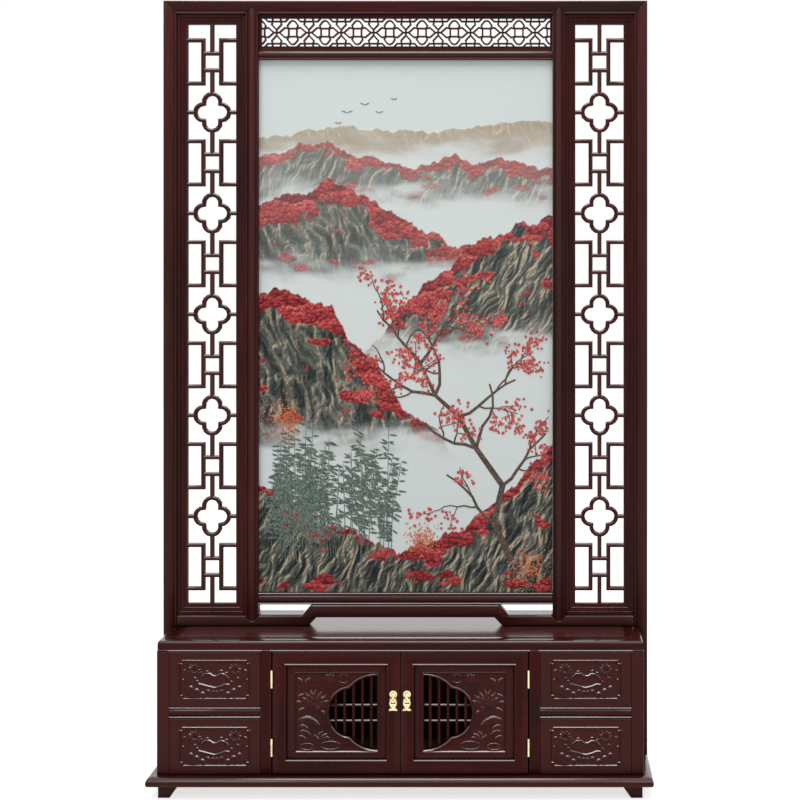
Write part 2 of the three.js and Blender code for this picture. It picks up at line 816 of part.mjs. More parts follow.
// Half of a four-lobed begonia outline, straight towards the meeting stile
function begoniaOutline() {
  const edge = panelX0 + windowEdge;
  const lobeX = edge + sideLobeReach;
  const lobeZ = windowHeight / 2 - topLobeHigh;
  const turn = Math.acos(sideLobeReach / topLobeWide);
  const cusp = THREE.MathUtils.radToDeg(turn);
  const sideLobeHigh = lobeZ + topLobeHigh * Math.sin(turn);
  return [
    ...arc(edge, windowCentre - lobeZ, topLobeWide, topLobeHigh, -90, -cusp, windowSteps),
    ...arc(lobeX, windowCentre, sideLobeWide, sideLobeHigh, -90, 90, 2 * windowSteps).slice(1, -1),
    ...arc(edge, windowCentre + lobeZ, topLobeWide, topLobeHigh, cusp, 90, windowSteps),
  ];
}
function doorPanel() {
  const shape = polygon([[panelX0, panelZ0], [panelX1, panelZ0], [panelX1, panelZ1], [panelX0, panelZ1]]);
  shape.holes.push(path(begoniaOutline()));
  const face = front + panelSetback;
  return upright(shape, face, face + panelThickness);
}
function doorGrille() {
  const y0 = front + panelSetback + panelThickness + seat;
  const y1 = y0 + grilleThickness;
  const edge = panelX0 + windowEdge;
  const foot = windowCentre - windowHeight / 2;
  const head = windowCentre + windowHeight / 2;
  const far = edge + sideLobeReach + sideLobeWide + grilleRim;
  const rim = grilleRim / 2;
  const border = [[far, foot - rim], [far, head + rim], [edge - rim, head + rim], [edge - rim, foot - rim]];
  const pieces = [closedRibbon(border, grilleRim, y0, y1)];
  for (let bar = 0; bar < grilleUprights; bar += 1) {
    const x = edge + grilleFirst + bar * grillePitch;
    pieces.push(ribbon([[x, foot - rim], [x, head + rim]], grilleBar, y0, y1));
  }
  for (const side of [-1, 1]) {
    const z = windowCentre - grilleDrop + side * grilleSpread;
    pieces.push(ribbon([[edge - rim, z], [far, z]], grilleBar, y0, y1));
  }
  return join(pieces);
}
const doorProfile = [
  [0, front],
  [doorStile - 5, front],
  [doorStile - 4, front + 1.5],
  [doorStile - 2, front],
  [doorStile, front + 2],
  [doorStile, doorBack],
  [0, doorBack],
];

// A hinge: knuckles round one vertical pin, and a leaf for each side
const hingeX = compartmentHalf - hingeGap / 2;
const hingeY = front - knuckleRadius - seat;
const leafMouth = front + leafSetback;
function knuckle(radius, z0, z1) {
  const geometry = new THREE.CylinderGeometry(radius, radius, z1 - z0, knuckleSides);
  return geometry.rotateX(Math.PI / 2).translate(hingeX, hingeY, (z0 + z1) / 2);
}
function fixedLeaf(z0) {
  const third = hingeHeight / 3;
  const z1 = z0 + hingeHeight;
  const leafX1 = compartmentHalf - seat;
  const leafX0 = leafX1 - hingeLeaf;
  const strip = (from, to) => block(leafX0, leafX1, hingeY, leafMouth, from, to);
  return join([
    block(leafX0, leafX1, leafMouth - leafLap, front + hingeLeafDepth, z0, z1),
    strip(z0, z0 + third),
    strip(z1 - third, z1),
    knuckle(knuckleRadius, z0, z0 + third),
    knuckle(knuckleRadius, z1 - third, z1),
    knuckle(pinRadius, z0 + 1, z1 - 1),
  ]);
}
function doorLeaf(z0) {
  const third = hingeHeight / 3;
  const low = z0 + third + seat;
  const high = z0 + 2 * third - seat;
  const leafX0 = doorX1 + seat;
  const leafX1 = leafX0 + hingeLeaf;
  const ring = cut(knuckle(knuckleRadius, low, high), knuckle(pinRadius + seat, low - 1, high + 1));
  return join([
    block(leafX0, leafX1, leafMouth - leafLap, front + hingeLeafDepth, z0, z0 + hingeHeight),
    block(leafX0, leafX1, hingeY + pinRadius + webSetback, leafMouth, low, high),
    ring,
  ]);
}

// Drop pull: a round plate with two cheeks and a pin, and a leaf-shaped drop that swings on it
const pullX = doorX0 + pullInset;
const pullY = front - plateThickness - cheekReach / 2 - 1;
function pullPlate() {
  const disc = new THREE.CylinderGeometry(plateRadius, plateRadius, plateThickness, plateSides);
  const pieces = [disc.translate(pullX, front - plateThickness / 2, pullHeight)];
  for (const side of [-1, 1]) {
    const inner = pullX + side * (pullKnuckle + seat);
    const outer = inner + side * cheekThickness;
    const lines = [inner, outer].sort((a, b) => a - b);
    const reach = front - plateThickness - cheekReach;
    pieces.push(block(...lines, reach, front - 1, pullHeight - 3, pullHeight + 3));
  }
  const span = 2 * (pullKnuckle + seat + cheekThickness) - 1;
  const pin = new THREE.CylinderGeometry(pullPinRadius, pullPinRadius, span, 8);
  pieces.push(pin.rotateZ(Math.PI / 2).translate(pullX, pullY, pullHeight));
  return join(pieces);
}
function pullDrop() {
  const width = 2 * pullKnuckle;
  const barrel = new THREE.CylinderGeometry(pullKnuckle, pullKnuckle, width, 12);
  const bore = new THREE.CylinderGeometry(pullPinRadius + seat, pullPinRadius + seat, width + 2, 12);
  const foot = pullHeight - dropLength;
  const halves = [...dropOutline, [dropNeck, dropLength - pullKnuckle + dropNeck / 2]];
  const across = halves.slice(1).toReversed().map(([u, v]) => [-u, v]);
  const leaf = polygon([...halves, ...across].map(([u, v]) => [pullX + u, foot + v]));
  for (const level of dropHoles) {
    leaf.holes.push(path(arc(pullX, foot + level, dropHoleRadius, dropHoleRadius, 0, 315, 7)));
  }
  leaf.holes.push(path([
    [pullX - dropBowHalf, foot + dropBowLevel - dropBowEnd],
    [pullX, foot + dropBowLevel - dropBowWaist],
    [pullX + dropBowHalf, foot + dropBowLevel - dropBowEnd],
    [pullX + dropBowHalf, foot + dropBowLevel + dropBowEnd],
    [pullX, foot + dropBowLevel + dropBowWaist],
    [pullX - dropBowHalf, foot + dropBowLevel + dropBowEnd],
  ]));
  const body = upright(leaf, pullY - dropThickness / 2, pullY + dropThickness / 2);
  const turned = barrel.rotateZ(Math.PI / 2).translate(pullX, pullY, pullHeight);
  const hole = bore.rotateZ(Math.PI / 2).translate(pullX, pullY, pullHeight);
  return cut(join([body, turned]), hole);
}

// Mirrors an indexed or plain closed geometry for the left side
function handed(geometry, sx) {
  if (sx > 0) {
    return geometry;
  }
  const copy = toGeometry(toSolid(geometry));
  copy.scale(-1, 1, 1);
  copy.setIndex(new THREE.BufferAttribute(copy.index.array.toReversed(), 1));
  return copy;
}
const hingeLevels = [['lower', doorZ0 + hingeInset], ['upper', doorZ1 - hingeInset - hingeHeight]];
for (const [sideName, sx] of [['left', -1], ['right', 1]]) {
  const add = (name, geometry, material) => addPiece(`${name}_${sideName}`, handed(geometry, sx), material);
  add('door_frame', mitredFrame(doorX0, doorX1, doorZ0, doorZ1, doorProfile, uprightPlace), rosewood);
  add('door_panel', doorPanel(), rosewood);
  add('door_grille', doorGrille(), rosewood);
  for (const [levelName, level] of hingeLevels) {
    add(`hinge_fixed_leaf_${levelName}`, fixedLeaf(level), brass);
    add(`hinge_door_leaf_${levelName}`, doorLeaf(level), brass);
  }
  add('pull_plate', pullPlate(), brass);
  add('pull_drop', pullDrop(), brass);
}

// Drawers: a front board and, behind it, a box that is open at the top
const drawerX0 = partitionOuter + drawerGap;
const drawerX1 = postInner - drawerGap;
const drawerRows = [
  ['lower', plinthTop, dividerFoot],
  ['upper', dividerTop, carcassTop],
];
for (const [sideName, sx] of [['left', -1], ['right', 1]]) {
  for (const [rowName, sill, head] of drawerRows) {
    const face = [sx * drawerX0, sx * drawerX1].sort((a, b) => a - b);
    const frontBack = front + drawerFrontThickness;
    const drawerFront = block(...face, front, frontBack, sill + drawerGap, head - drawerGap);
    addPiece(`drawer_front_${rowName}_${sideName}`, drawerFront, rosewood);
    const wide = [face[0] + 1, face[1] - 1];
    const foot = sill + seat;
    const back = frontBack + drawerDepth;
    const outer = block(...wide, frontBack, back, foot, foot + drawerHeight);
    const hollow = block(
      wide[0] + drawerWall,
      wide[1] - drawerWall,
      frontBack + drawerWall,
      back - drawerWall,
      foot + drawerBottom,
      foot + drawerHeight + 1,
    );
    addPiece(`drawer_box_${rowName}_${sideName}`, cut(outer, hollow), innerWood);
  }
}

export default cabinet;
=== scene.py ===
"""Rosewood screen cabinet: finishes, mouldings, carving and the embroidered picture."""
import json
import math
import random

import bmesh
import bpy
import numpy as np
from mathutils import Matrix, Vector, noise


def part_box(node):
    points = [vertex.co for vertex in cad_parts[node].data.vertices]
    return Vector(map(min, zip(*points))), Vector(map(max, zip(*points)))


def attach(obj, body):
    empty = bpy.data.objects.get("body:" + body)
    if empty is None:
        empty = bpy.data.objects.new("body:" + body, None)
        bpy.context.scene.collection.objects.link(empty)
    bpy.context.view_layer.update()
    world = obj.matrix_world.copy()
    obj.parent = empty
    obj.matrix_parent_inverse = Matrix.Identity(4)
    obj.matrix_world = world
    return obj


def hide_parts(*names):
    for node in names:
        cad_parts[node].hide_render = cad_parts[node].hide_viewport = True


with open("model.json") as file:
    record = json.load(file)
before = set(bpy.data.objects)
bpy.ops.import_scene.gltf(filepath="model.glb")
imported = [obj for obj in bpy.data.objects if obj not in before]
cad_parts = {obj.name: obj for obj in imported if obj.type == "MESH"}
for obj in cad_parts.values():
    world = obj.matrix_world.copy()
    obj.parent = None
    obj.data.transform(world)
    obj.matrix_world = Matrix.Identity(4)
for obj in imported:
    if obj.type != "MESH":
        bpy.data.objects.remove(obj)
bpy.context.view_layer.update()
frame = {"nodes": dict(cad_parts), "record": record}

nodes = frame["nodes"]
body_of = {name: body for body, names in frame["record"]["behaviour"]["bodies"].items() for name in names}
SIDES = (("left", -1), ("right", 1))
MM = 0.001


# Shader helpers
def new_material(name):
    material = bpy.data.materials.new(name)
    material.use_nodes = True
    tree = material.node_tree
    shader = tree.nodes["Principled BSDF"]
    return material, tree, shader


def link(tree, start, end):
    tree.links.new(start, end)


def noise_node(tree, vector, scale, detail=4.0, roughness=0.5):
    node = tree.nodes.new("ShaderNodeTexNoise")
    node.inputs["Scale"].default_value = scale
    node.inputs["Detail"].default_value = detail
    node.inputs["Roughness"].default_value = roughness
    link(tree, vector, node.inputs["Vector"])
    return node.outputs["Fac"]


def mapping(tree, scale, rotation=(0, 0, 0)):
    coords = tree.nodes.new("ShaderNodeTexCoord")
    node = tree.nodes.new("ShaderNodeMapping")
    node.inputs["Scale"].default_value = scale
    node.inputs["Rotation"].default_value = rotation
    link(tree, coords.outputs["Object"], node.inputs["Vector"])
    return node.outputs["Vector"]


def ramp(tree, value, stops):
    node = tree.nodes.new("ShaderNodeValToRGB")
    elements = node.color_ramp.elements
    while len(elements) < len(stops):
        elements.new(0.5)
    for element, (place, colour) in zip(elements, stops):
        element.position = place
        element.color = (*colour, 1)
    link(tree, value, node.inputs["Fac"])
    return node.outputs["Color"]


def mix_colour(tree, factor, first, second, blend="MIX"):
    node = tree.nodes.new("ShaderNodeMix")
    node.data_type = "RGBA"
    node.blend_type = blend
    if isinstance(factor, float):
        node.inputs[0].default_value = factor
    else:
        link(tree, factor, node.inputs[0])
    for socket, value in ((node.inputs[6], first), (node.inputs[7], second)):
        if isinstance(value, tuple):
            socket.default_value = (*value, 1)
        else:
            link(tree, value, socket)
    return node.outputs[2]


def scaled(tree, value, low, high):
    node = tree.nodes.new("ShaderNodeMapRange")
    node.inputs["To Min"].default_value = low
    node.inputs["To Max"].default_value = high
    link(tree, value, node.inputs["Value"])
    return node.outputs["Result"]


def bump(tree, shader, height, strength, distance):
    node = tree.nodes.new("ShaderNodeBump")
    node.inputs["Strength"].default_value = strength
    node.inputs["Distance"].default_value = distance
    link(tree, height, node.inputs["Height"])
    link(tree, node.outputs["Normal"], shader.inputs["Normal"])


# Wood whose grain runs along one axis, with open pores, lighter worn edges and painted shade darkening its crevices
def wood(name, tones, axis, gloss, specular, coat):
    material, tree, shader = new_material(f"{name}_{'xyz'[axis]}")
    stretch = [60.0, 60.0, 60.0]
    stretch[axis] = 3.0
    fibre = noise_node(tree, mapping(tree, stretch), 2.2, 6.0, 0.62)
    wide = [7.0, 7.0, 7.0]
    wide[axis] = 1.1
    figure = noise_node(tree, mapping(tree, wide), 1.0, 3.0)
    base = ramp(tree, fibre, ((0.28, tones[0]), (0.5, tones[1]), (0.74, tones[2])))
    shade = ramp(tree, figure, ((0.32, (0.58, 0.82, 0.84)), (0.68, (1.5, 1.05, 1.05))))
    colour = mix_colour(tree, 1.0, base, shade, "MULTIPLY")
    geometry = tree.nodes.new("ShaderNodeNewGeometry")
    worn = ramp(tree, geometry.outputs["Pointiness"], ((0.52, (0, 0, 0)), (0.6, (1, 1, 1))))
    colour = mix_colour(tree, worn, colour, tones[3])
    # Painted shade: ambient occlusion darkens the colour in creases, recesses and between parts, and lifts open faces a
    # little
    crevice = tree.nodes.new("ShaderNodeAmbientOcclusion")
    crevice.samples = 8
    crevice.inputs["Distance"].default_value = 0.012
    painted_crevice_shade = ramp(tree, crevice.outputs["AO"], ((0.35, (0.22, 0.24, 0.26)), (0.85, (1.06, 1.04, 1.04))))
    colour = mix_colour(tree, 1.0, colour, painted_crevice_shade, "MULTIPLY")
    link(tree, colour, shader.inputs["Base Color"])
    link(tree, scaled(tree, fibre, gloss - 0.05, gloss + 0.12), shader.inputs["Roughness"])
    shader.inputs["Specular IOR Level"].default_value = specular
    shader.inputs["Coat Weight"].default_value = coat
    shader.inputs["Coat Roughness"].default_value = 0.12
    pores = [420.0, 420.0, 420.0]
    pores[axis] = 16.0
    bump(tree, shader, noise_node(tree, mapping(tree, pores), 1.0, 2.0), 0.12, 0.0004)
    return material


ROSEWOOD = ((0.018, 0.0022, 0.0018), (0.032, 0.0040, 0.0032), (0.048, 0.0080, 0.0066), (0.060, 0.018, 0.016))
SCREEN_WOOD = ((0.019, 0.0034, 0.0030), (0.034, 0.0064, 0.0056), (0.050, 0.0115, 0.0100), (0.062, 0.022, 0.020))
INNER_WOOD = ((0.10, 0.055, 0.035), (0.17, 0.095, 0.06), (0.23, 0.14, 0.09), (0.28, 0.18, 0.12))
BOARD_WOOD = ((0.20, 0.14, 0.09), (0.29, 0.2, 0.13), (0.36, 0.26, 0.17), (0.4, 0.3, 0.2))
FINISHES = (
    ("rosewood", ROSEWOOD, 0.34, 0.08, 0.0),
    ("screen_wood", SCREEN_WOOD, 0.34, 0.10, 0.0),
    ("inner_wood", INNER_WOOD, 0.5, 0.3, 0.0),
    ("board", BOARD_WOOD, 0.7, 0.3, 0.0),
)
woods = {}
for slot, tones, gloss, specular, coat in FINISHES:
    for axis in range(3):
        woods[(slot, axis)] = wood(slot, tones, axis, gloss, specular, coat)

# The lacquer is brightest on edges and ledges that look upwards
polished = {}
for slot, tones in (("rosewood", ROSEWOOD), ("screen_wood", SCREEN_WOOD)):
    for axis in range(3):
        polished[(slot, axis)] = wood(f"polished_{slot}", tones, axis, 0.24, 0.25, 0.85)
carved = wood("carved_rosewood", ROSEWOOD, 0, 0.24, 0.8, 1.0)
UPWARD = 0.3


def brass_material():
    material, tree, shader = new_material("brass")
    patches = noise_node(tree, mapping(tree, (90, 90, 90)), 1.0, 5.0)
    colour = ramp(tree, patches, ((0.3, (0.58, 0.43, 0.20)), (0.55, (0.84, 0.70, 0.42)), (0.8, (0.93, 0.84, 0.62))))
    link(tree, colour, shader.inputs["Base Color"])
    shader.inputs["Metallic"].default_value = 1.0
    link(tree, scaled(tree, patches, 0.18, 0.36), shader.inputs["Roughness"])
    bump(tree, shader, noise_node(tree, mapping(tree, (700, 700, 700)), 1.0), 0.1, 0.0002)
    return material


brass = brass_material()


# Silk: painted shades, flecked where it is stitched, over a plain weave
def silk_material():
    material, tree, shader = new_material("embroidered_silk")
    paint = tree.nodes.new("ShaderNodeVertexColor")
    paint.layer_name = "shade"
    stitched = tree.nodes.new("ShaderNodeAttribute")
    stitched.attribute_name = "stitched"
    fleck = noise_node(tree, mapping(tree, (640, 1, 420)), 1.0, 3.0, 0.7)
    light = ramp(tree, fleck, ((0.36, (0.62, 0.62, 0.62)), (0.66, (1.38, 1.36, 1.34))))
    flecked = mix_colour(tree, 1.0, paint.outputs["Color"], light, "MULTIPLY")
    colour = mix_colour(tree, stitched.outputs["Fac"], paint.outputs["Color"], flecked)
    link(tree, colour, shader.inputs["Base Color"])
    shader.inputs["Roughness"].default_value = 0.7
    shader.inputs["Specular IOR Level"].default_value = 0.2
    weave = tree.nodes.new("ShaderNodeMath")
    weave.operation = "MULTIPLY"
    for socket, scale, direction in ((0, (1000, 0, 0), "X"), (1, (0, 0, 1000), "Z")):
        wave = tree.nodes.new("ShaderNodeTexWave")
        wave.inputs["Scale"].default_value = 0.32
        wave.bands_direction = direction
        link(tree, mapping(tree, scale), wave.inputs["Vector"])
        link(tree, wave.outputs["Fac"], weave.inputs[socket])
    bump(tree, shader, weave.outputs["Value"], 0.25, 0.0003)
    return material


# Stitched thread: satin sheen along short strokes
def thread(name, low, mid, high, scale=500.0):
    material, tree, shader = new_material(name)
    strands = noise_node(tree, mapping(tree, (scale, scale, scale * 0.35)), 1.0, 3.0, 0.6)
    link(tree, ramp(tree, strands, ((0.32, low), (0.5, mid), (0.68, high))), shader.inputs["Base Color"])
    shader.inputs["Roughness"].default_value = 0.6
    shader.inputs["Specular IOR Level"].default_value = 0.25
    bump(tree, shader, strands, 0.4, 0.0004)
    return material


def longest_axis(corners):
    low, high = corners
    spans = [high[axis] - low[axis] for axis in range(3)]
    return spans.index(max(spans))


def lacquer(slot, axis):
    return woods[(slot, axis)], polished[(slot, axis)]


def dress(obj, finish):
    """Gives one material, or plain wood with the polished kind on the faces that look upwards."""
    obj.data.materials.clear()
    for material in finish:
        obj.data.materials.append(material)
    if len(finish) > 1:
        turn = obj.matrix_world.to_3x3()
        for face in obj.data.polygons:
            face.material_index = int((turn @ face.normal).z > UPWARD)


slot_of = {row["node"]: row["material_slot"] for row in frame["record"]["subparts"]}


def finish_of(node):
    slot = slot_of[node]
    if slot == "brass":
        return (brass,)
    if slot == "silk":
        return (woods[("board", 2)],)
    axis = longest_axis(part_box(node))
    if slot in ("rosewood", "screen_wood"):
        return lacquer(slot, axis)
    return (woods[(slot, axis)],)


# Every CAD node gets its finish; edges that the eye meets are eased on a copy that stands for the node
for name, obj in nodes.items():
    dress(obj, finish_of(name))


def smooth_by_angle(mesh, angle):
    for face in mesh.polygons:
        face.use_smooth = True
    built = bmesh.new()
    built.from_mesh(mesh)
    for edge in built.edges:
        if len(edge.link_faces) == 2 and edge.calc_face_angle(0) > angle:
            edge.smooth = False
    built.to_mesh(mesh)
    built.free()


def ease_edges(node, width, segments=2):
    mesh = nodes[node].data.copy()
    built = bmesh.new()
    built.from_mesh(mesh)
    bmesh.ops.remove_doubles(built, verts=built.verts, dist=1e-5)
    bmesh.ops.dissolve_limit(built, angle_limit=math.radians(1), verts=built.verts, edges=built.edges)
    edges = [
        edge for edge in built.edges
        if len(edge.link_faces) == 2 and edge.is_convex and edge.calc_face_angle(0) > math.radians(28)
    ]
    bmesh.ops.bevel(
        built, geom=edges, offset=width, offset_type="OFFSET", segments=segments,
        profile=0.5, affect="EDGES", clamp_overlap=True,
    )
    built.to_mesh(mesh)
    built.free()
    mesh.name = f"{node}_eased"
    obj = bpy.data.objects.new(f"{node}_eased", mesh)
    bpy.context.scene.collection.objects.link(obj)
    smooth_by_angle(mesh, math.radians(40))
    dress(obj, finish_of(node))
    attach(obj, body_of[node])
    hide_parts(node)
    return obj


EASED = {
    "plinth_frame": 0.4, "top_frame": 0.8, "crest_rail": 0.5, "picture_top_rail": 0.4,
    "picture_bottom_rail": 0.4, "hump_rail": 4.0,
}
for side, _ in SIDES:
    EASED.update({
        f"screen_post_{side}": 0.5, f"inner_post_{side}": 0.5, f"door_frame_{side}": 0.7,
        f"door_panel_{side}": 0.8, f"door_grille_{side}": 0.9, f"corner_post_front_{side}": 0.8,
        f"partition_{side}": 0.5, f"drawer_divider_{side}": 0.4,
        f"drawer_front_upper_{side}": 1.2, f"drawer_front_lower_{side}": 1.2,
        f"foot_front_{side}": 1.0, f"foot_back_{side}": 1.0, f"pull_drop_{side}": 0.3,
        f"lattice_{side}": 0.9,
    })
for node, width in EASED.items():
    ease_edges(node, width * MM)


# Mesh builder for mouldings and relief. Shapes are drawn in X and Z and stand out towards -Y.
class Relief:
    def __init__(self, face, mirror=1):
        self.built = bmesh.new()
        self.face = face
        self.mirror = mirror

    def vert(self, x, z, rise):
        return self.built.verts.new((self.mirror * x, self.face - rise, z))

    def skin(self, rings, closed_ends=True, loop=False):
        count = len(rings[0])
        pairs = list(zip(rings, rings[1:]))
        if loop:
            pairs.append((rings[-1], rings[0]))
        for first, second in pairs:
            for index in range(count):
                after = (index + 1) % count
                self.built.faces.new((first[index], first[after], second[after], second[index]))
        if closed_ends and not loop:
            self.built.faces.new(rings[0][::-1])
            self.built.faces.new(rings[-1])

    def sweep(self, points, half, section, loop=True, taper=1.0):
        """Runs a section of across and up pairs along points, mitred where they turn."""
        line = [Vector(point) for point in points]
        last = len(line) - 1
        rings = []
        for index, point in enumerate(line):
            before = line[index - 1] if loop or index > 0 else point
            after = line[(index + 1) % len(line)] if loop or index < last else point
            into = (point - before).normalized() if point != before else (after - point).normalized()
            out = (after - point).normalized() if after != point else into
            normal = Vector((-into.y - out.y, into.x + out.x)).normalized()
            reach = half / max(0.35, normal.dot(Vector((-into.y, into.x))))
            scale = 1 + (taper - 1) * index / max(last, 1)
            rings.append([
                self.vert(point.x + normal.x * u * reach * scale, point.y + normal.y * u * reach * scale, v * scale)
                for u, v in section
            ])
        self.skin(rings, loop=loop)

    def bead(self, points, radius, rise=None, loop=True, taper=1.0, sides=8):
        """A rounded moulding, half sunk in the face."""
        rise = radius if rise is None else rise
        turns = [2 * math.pi * side / sides for side in range(sides)]
        self.sweep(points, radius, [(math.cos(turn), rise * math.sin(turn)) for turn in turns], loop, taper)

    def strip(self, points, half, rise, loop=True):
        """A raised strip with sloping sides and a narrow flat top."""
        foot = -0.5 * MM
        section = ((-1, foot), (-1, 0.0), (-0.25, rise), (0.25, rise), (1, 0.0), (1, foot))
        self.sweep(points, half, section, loop)

    def petal(self, base, tip, width, rise, bend=0.0, groove=0.3, steps=6):
        """A domed leaf from base to tip with a grooved middle, closed underneath."""
        start, end = Vector(base), Vector(tip)
        along = end - start
        side = Vector((-along.y, along.x)).normalized()
        middle = (start + end) / 2 + side * bend
        top, under = [], []
        spread = (-1.0, -0.55, 0.0, 0.55, 1.0)
        ends = []
        for step in range(steps + 1):
            t = step / steps
            spine = start * (1 - t) ** 2 + middle * 2 * t * (1 - t) + end * t ** 2
            if step in (0, steps):
                ends.append(self.vert(spine.x, spine.y, 0))
                continue
            direction = ((middle - start) * (1 - t) + (end - middle) * t).normalized()
            normal = Vector((-direction.y, direction.x))
            half = width / 2 * math.sin(math.pi * t ** 0.85) ** 0.8
            high = rise * math.sin(math.pi * t) ** 0.6
            row, low = [], []
            for s in spread:
                place = spine + normal * half * s
                lift = high * (1 - s * s) * (1 - groove * (s == 0.0))
                row.append(self.vert(place.x, place.y, lift))
                low.append(row[-1] if abs(s) == 1.0 else self.vert(place.x, place.y, -0.4 * MM))
            top.append(row)
            under.append(low)
        faces = self.built.faces
        for first, second in zip(top, top[1:]):
            for index in range(4):
                faces.new((first[index], first[index + 1], second[index + 1], second[index]))
        for first, second in zip(under, under[1:]):
            for index in range(4):
                faces.new((first[index], second[index], second[index + 1], first[index + 1]))
        for rows in (top, under):
            for index in range(4):
                faces.new((ends[0], rows[0][index], rows[0][index + 1]))
                faces.new((ends[1], rows[-1][index + 1], rows[-1][index]))

    def ball(self, x, z, radius, rise=None):
        rise = radius if rise is None else rise
        rings = []
        for level in range(1, 5):
            turn = math.pi * level / 5
            size, height = radius * math.sin(turn), rise * math.cos(turn)
            rings.append([
                self.vert(x + size * math.cos(a), z + size * math.sin(a), height)
                for a in (2 * math.pi * k / 10 for k in range(10))
            ])
        self.skin(rings)

    def finish(self, name, node, finish, smooth=50):
        bmesh.ops.recalc_face_normals(self.built, faces=self.built.faces)
        mesh = bpy.data.meshes.new(name)
        self.built.to_mesh(mesh)
        self.built.free()
        obj = bpy.data.objects.new(name, mesh)
        bpy.context.scene.collection.objects.link(obj)
        smooth_by_angle(mesh, math.radians(smooth))
        dress(obj, finish)
        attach(obj, body_of[node])
        return obj


def rectangle(x0, x1, z0, z1):
    return [(x0, z0), (x1, z0), (x1, z1), (x0, z1)]


def arc_points(x, z, radius_x, radius_z, start, stop, steps):
    angles = [math.radians(start + (stop - start) * k / steps) for k in range(steps + 1)]
    return [(x + radius_x * math.cos(a), z + radius_z * math.sin(a)) for a in angles]


# A lotus bloom seen from the side: rows of petals that open from one point
def bloom(relief, x, z, size, lean=0.0):
    for row, (count, reach, width, rise) in enumerate(((7, 1.0, 0.34, 4.0), (5, 0.78, 0.36, 5.2), (3, 0.55, 0.34, 6.4))):
        for index in range(count):
            turn = math.radians(lean + 90 + (index - (count - 1) / 2) * (150 / count))
            tip = (x + size * reach * math.cos(turn), z + size * reach * math.sin(turn))
            relief.petal((x, z), tip, size * width, rise * MM, bend=size * 0.05 * (index - (count - 1) / 2))
    relief.ball(x, z + size * 0.06, size * 0.14, 4.5 * MM)


# Door details: mouldings, the window's rim, and a lotus pond carved beside it
WINDOW_HALF = 0.08875
WINDOW_EDGE = 0.0195
WINDOW_DROP = 0.0012
TOP_LOBE = (0.0806, 0.0675)
SIDE_REACH = 0.068
SIDE_LOBE = 0.049
GRILLE_DROP = 0.0032
GRILLE_SPREAD = 0.0187
STILE = 0.0325
BEADED = lacquer("rosewood", 0)
CARVED = (woods[("rosewood", 0)], carved)


def window_rim(edge, centre, grow):
    """The begonia outline of the door window, grown outwards."""
    wide, high = TOP_LOBE[0] + grow, TOP_LOBE[1] + grow
    level = WINDOW_HALF - TOP_LOBE[1]
    turn = math.acos(SIDE_REACH / TOP_LOBE[0])
    side_high = level + TOP_LOBE[1] * math.sin(turn) + grow
    cusp = math.degrees(turn)
    return [
        *arc_points(edge, centre - level, wide, high, -90, -cusp - 3, 8),
        *arc_points(edge + SIDE_REACH, centre, SIDE_LOBE + grow, side_high, -86, 86, 16),
        *arc_points(edge, centre + level, wide, high, cusp + 3, 90, 8),
    ]


def lily_pad(relief, x, z, half_x, half_z):
    relief.bead(arc_points(x, z, half_x, half_z, 0, 345, 23), 1.3 * MM, 1.8 * MM)
    relief.ball(x, z, 2.2 * MM)
    for turn in range(20, 360, 45):
        a = math.radians(turn)
        tip = (x + 0.8 * half_x * math.cos(a), z + 0.8 * half_z * math.sin(a))
        relief.petal((x, z), tip, 1.6 * MM, 1.0 * MM, steps=3)


def lotus_pond(relief):
    bloom(relief, 0.205, 0.219, 0.040, lean=8)
    for stem in (
        ((0.222, 0.124), (0.217, 0.16), (0.21, 0.195), (0.205, 0.222)),
        ((0.205, 0.235), (0.193, 0.258), (0.178, 0.268), (0.168, 0.276)),
        ((0.193, 0.258), (0.172, 0.262), (0.152, 0.268), (0.138, 0.276)),
    ):
        relief.bead(stem, 1.5 * MM, 2.0 * MM, loop=False, taper=0.7, sides=6)
    for tip, width in (((0.158, 0.293), 0.011), ((0.166, 0.297), 0.012), ((0.176, 0.294), 0.011)):
        relief.petal((0.168, 0.274), tip, width, 4.2 * MM)
    lily_pad(relief, 0.135, 0.283, 0.012, 0.0105)
    lily_pad(relief, 0.166, 0.124, 0.023, 0.0095)
    lily_pad(relief, 0.222, 0.121, 0.0165, 0.0075)
    for base, tip, width, bend in (
        ((0.243, 0.184), (0.190, 0.171), 0.017, -0.013),
        ((0.241, 0.170), (0.216, 0.160), 0.010, -0.005),
        ((0.240, 0.157), (0.212, 0.148), 0.010, -0.005),
        ((0.244, 0.145), (0.222, 0.138), 0.008, -0.003),
        ((0.196, 0.146), (0.184, 0.158), 0.008, 0.002),
        ((0.190, 0.143), (0.172, 0.152), 0.009, 0.002),
        ((0.188, 0.139), (0.166, 0.141), 0.009, -0.002),
        ((0.192, 0.136), (0.205, 0.150), 0.008, -0.002),
        ((0.246, 0.238), (0.228, 0.246), 0.010, 0.003),
        ((0.244, 0.205), (0.226, 0.213), 0.010, 0.003),
        ((0.250, 0.226), (0.232, 0.226), 0.009, 0.002),
        ((0.190, 0.205), (0.178, 0.196), 0.009, -0.002),
        ((0.203, 0.214), (0.190, 0.212), 0.009, 0.002),
        ((0.232, 0.27), (0.246, 0.284), 0.010, 0.002),
        ((0.226, 0.268), (0.214, 0.284), 0.010, -0.002),
    ):
        relief.petal(base, tip, 1.1 * width, 0.36 * width, bend=bend)


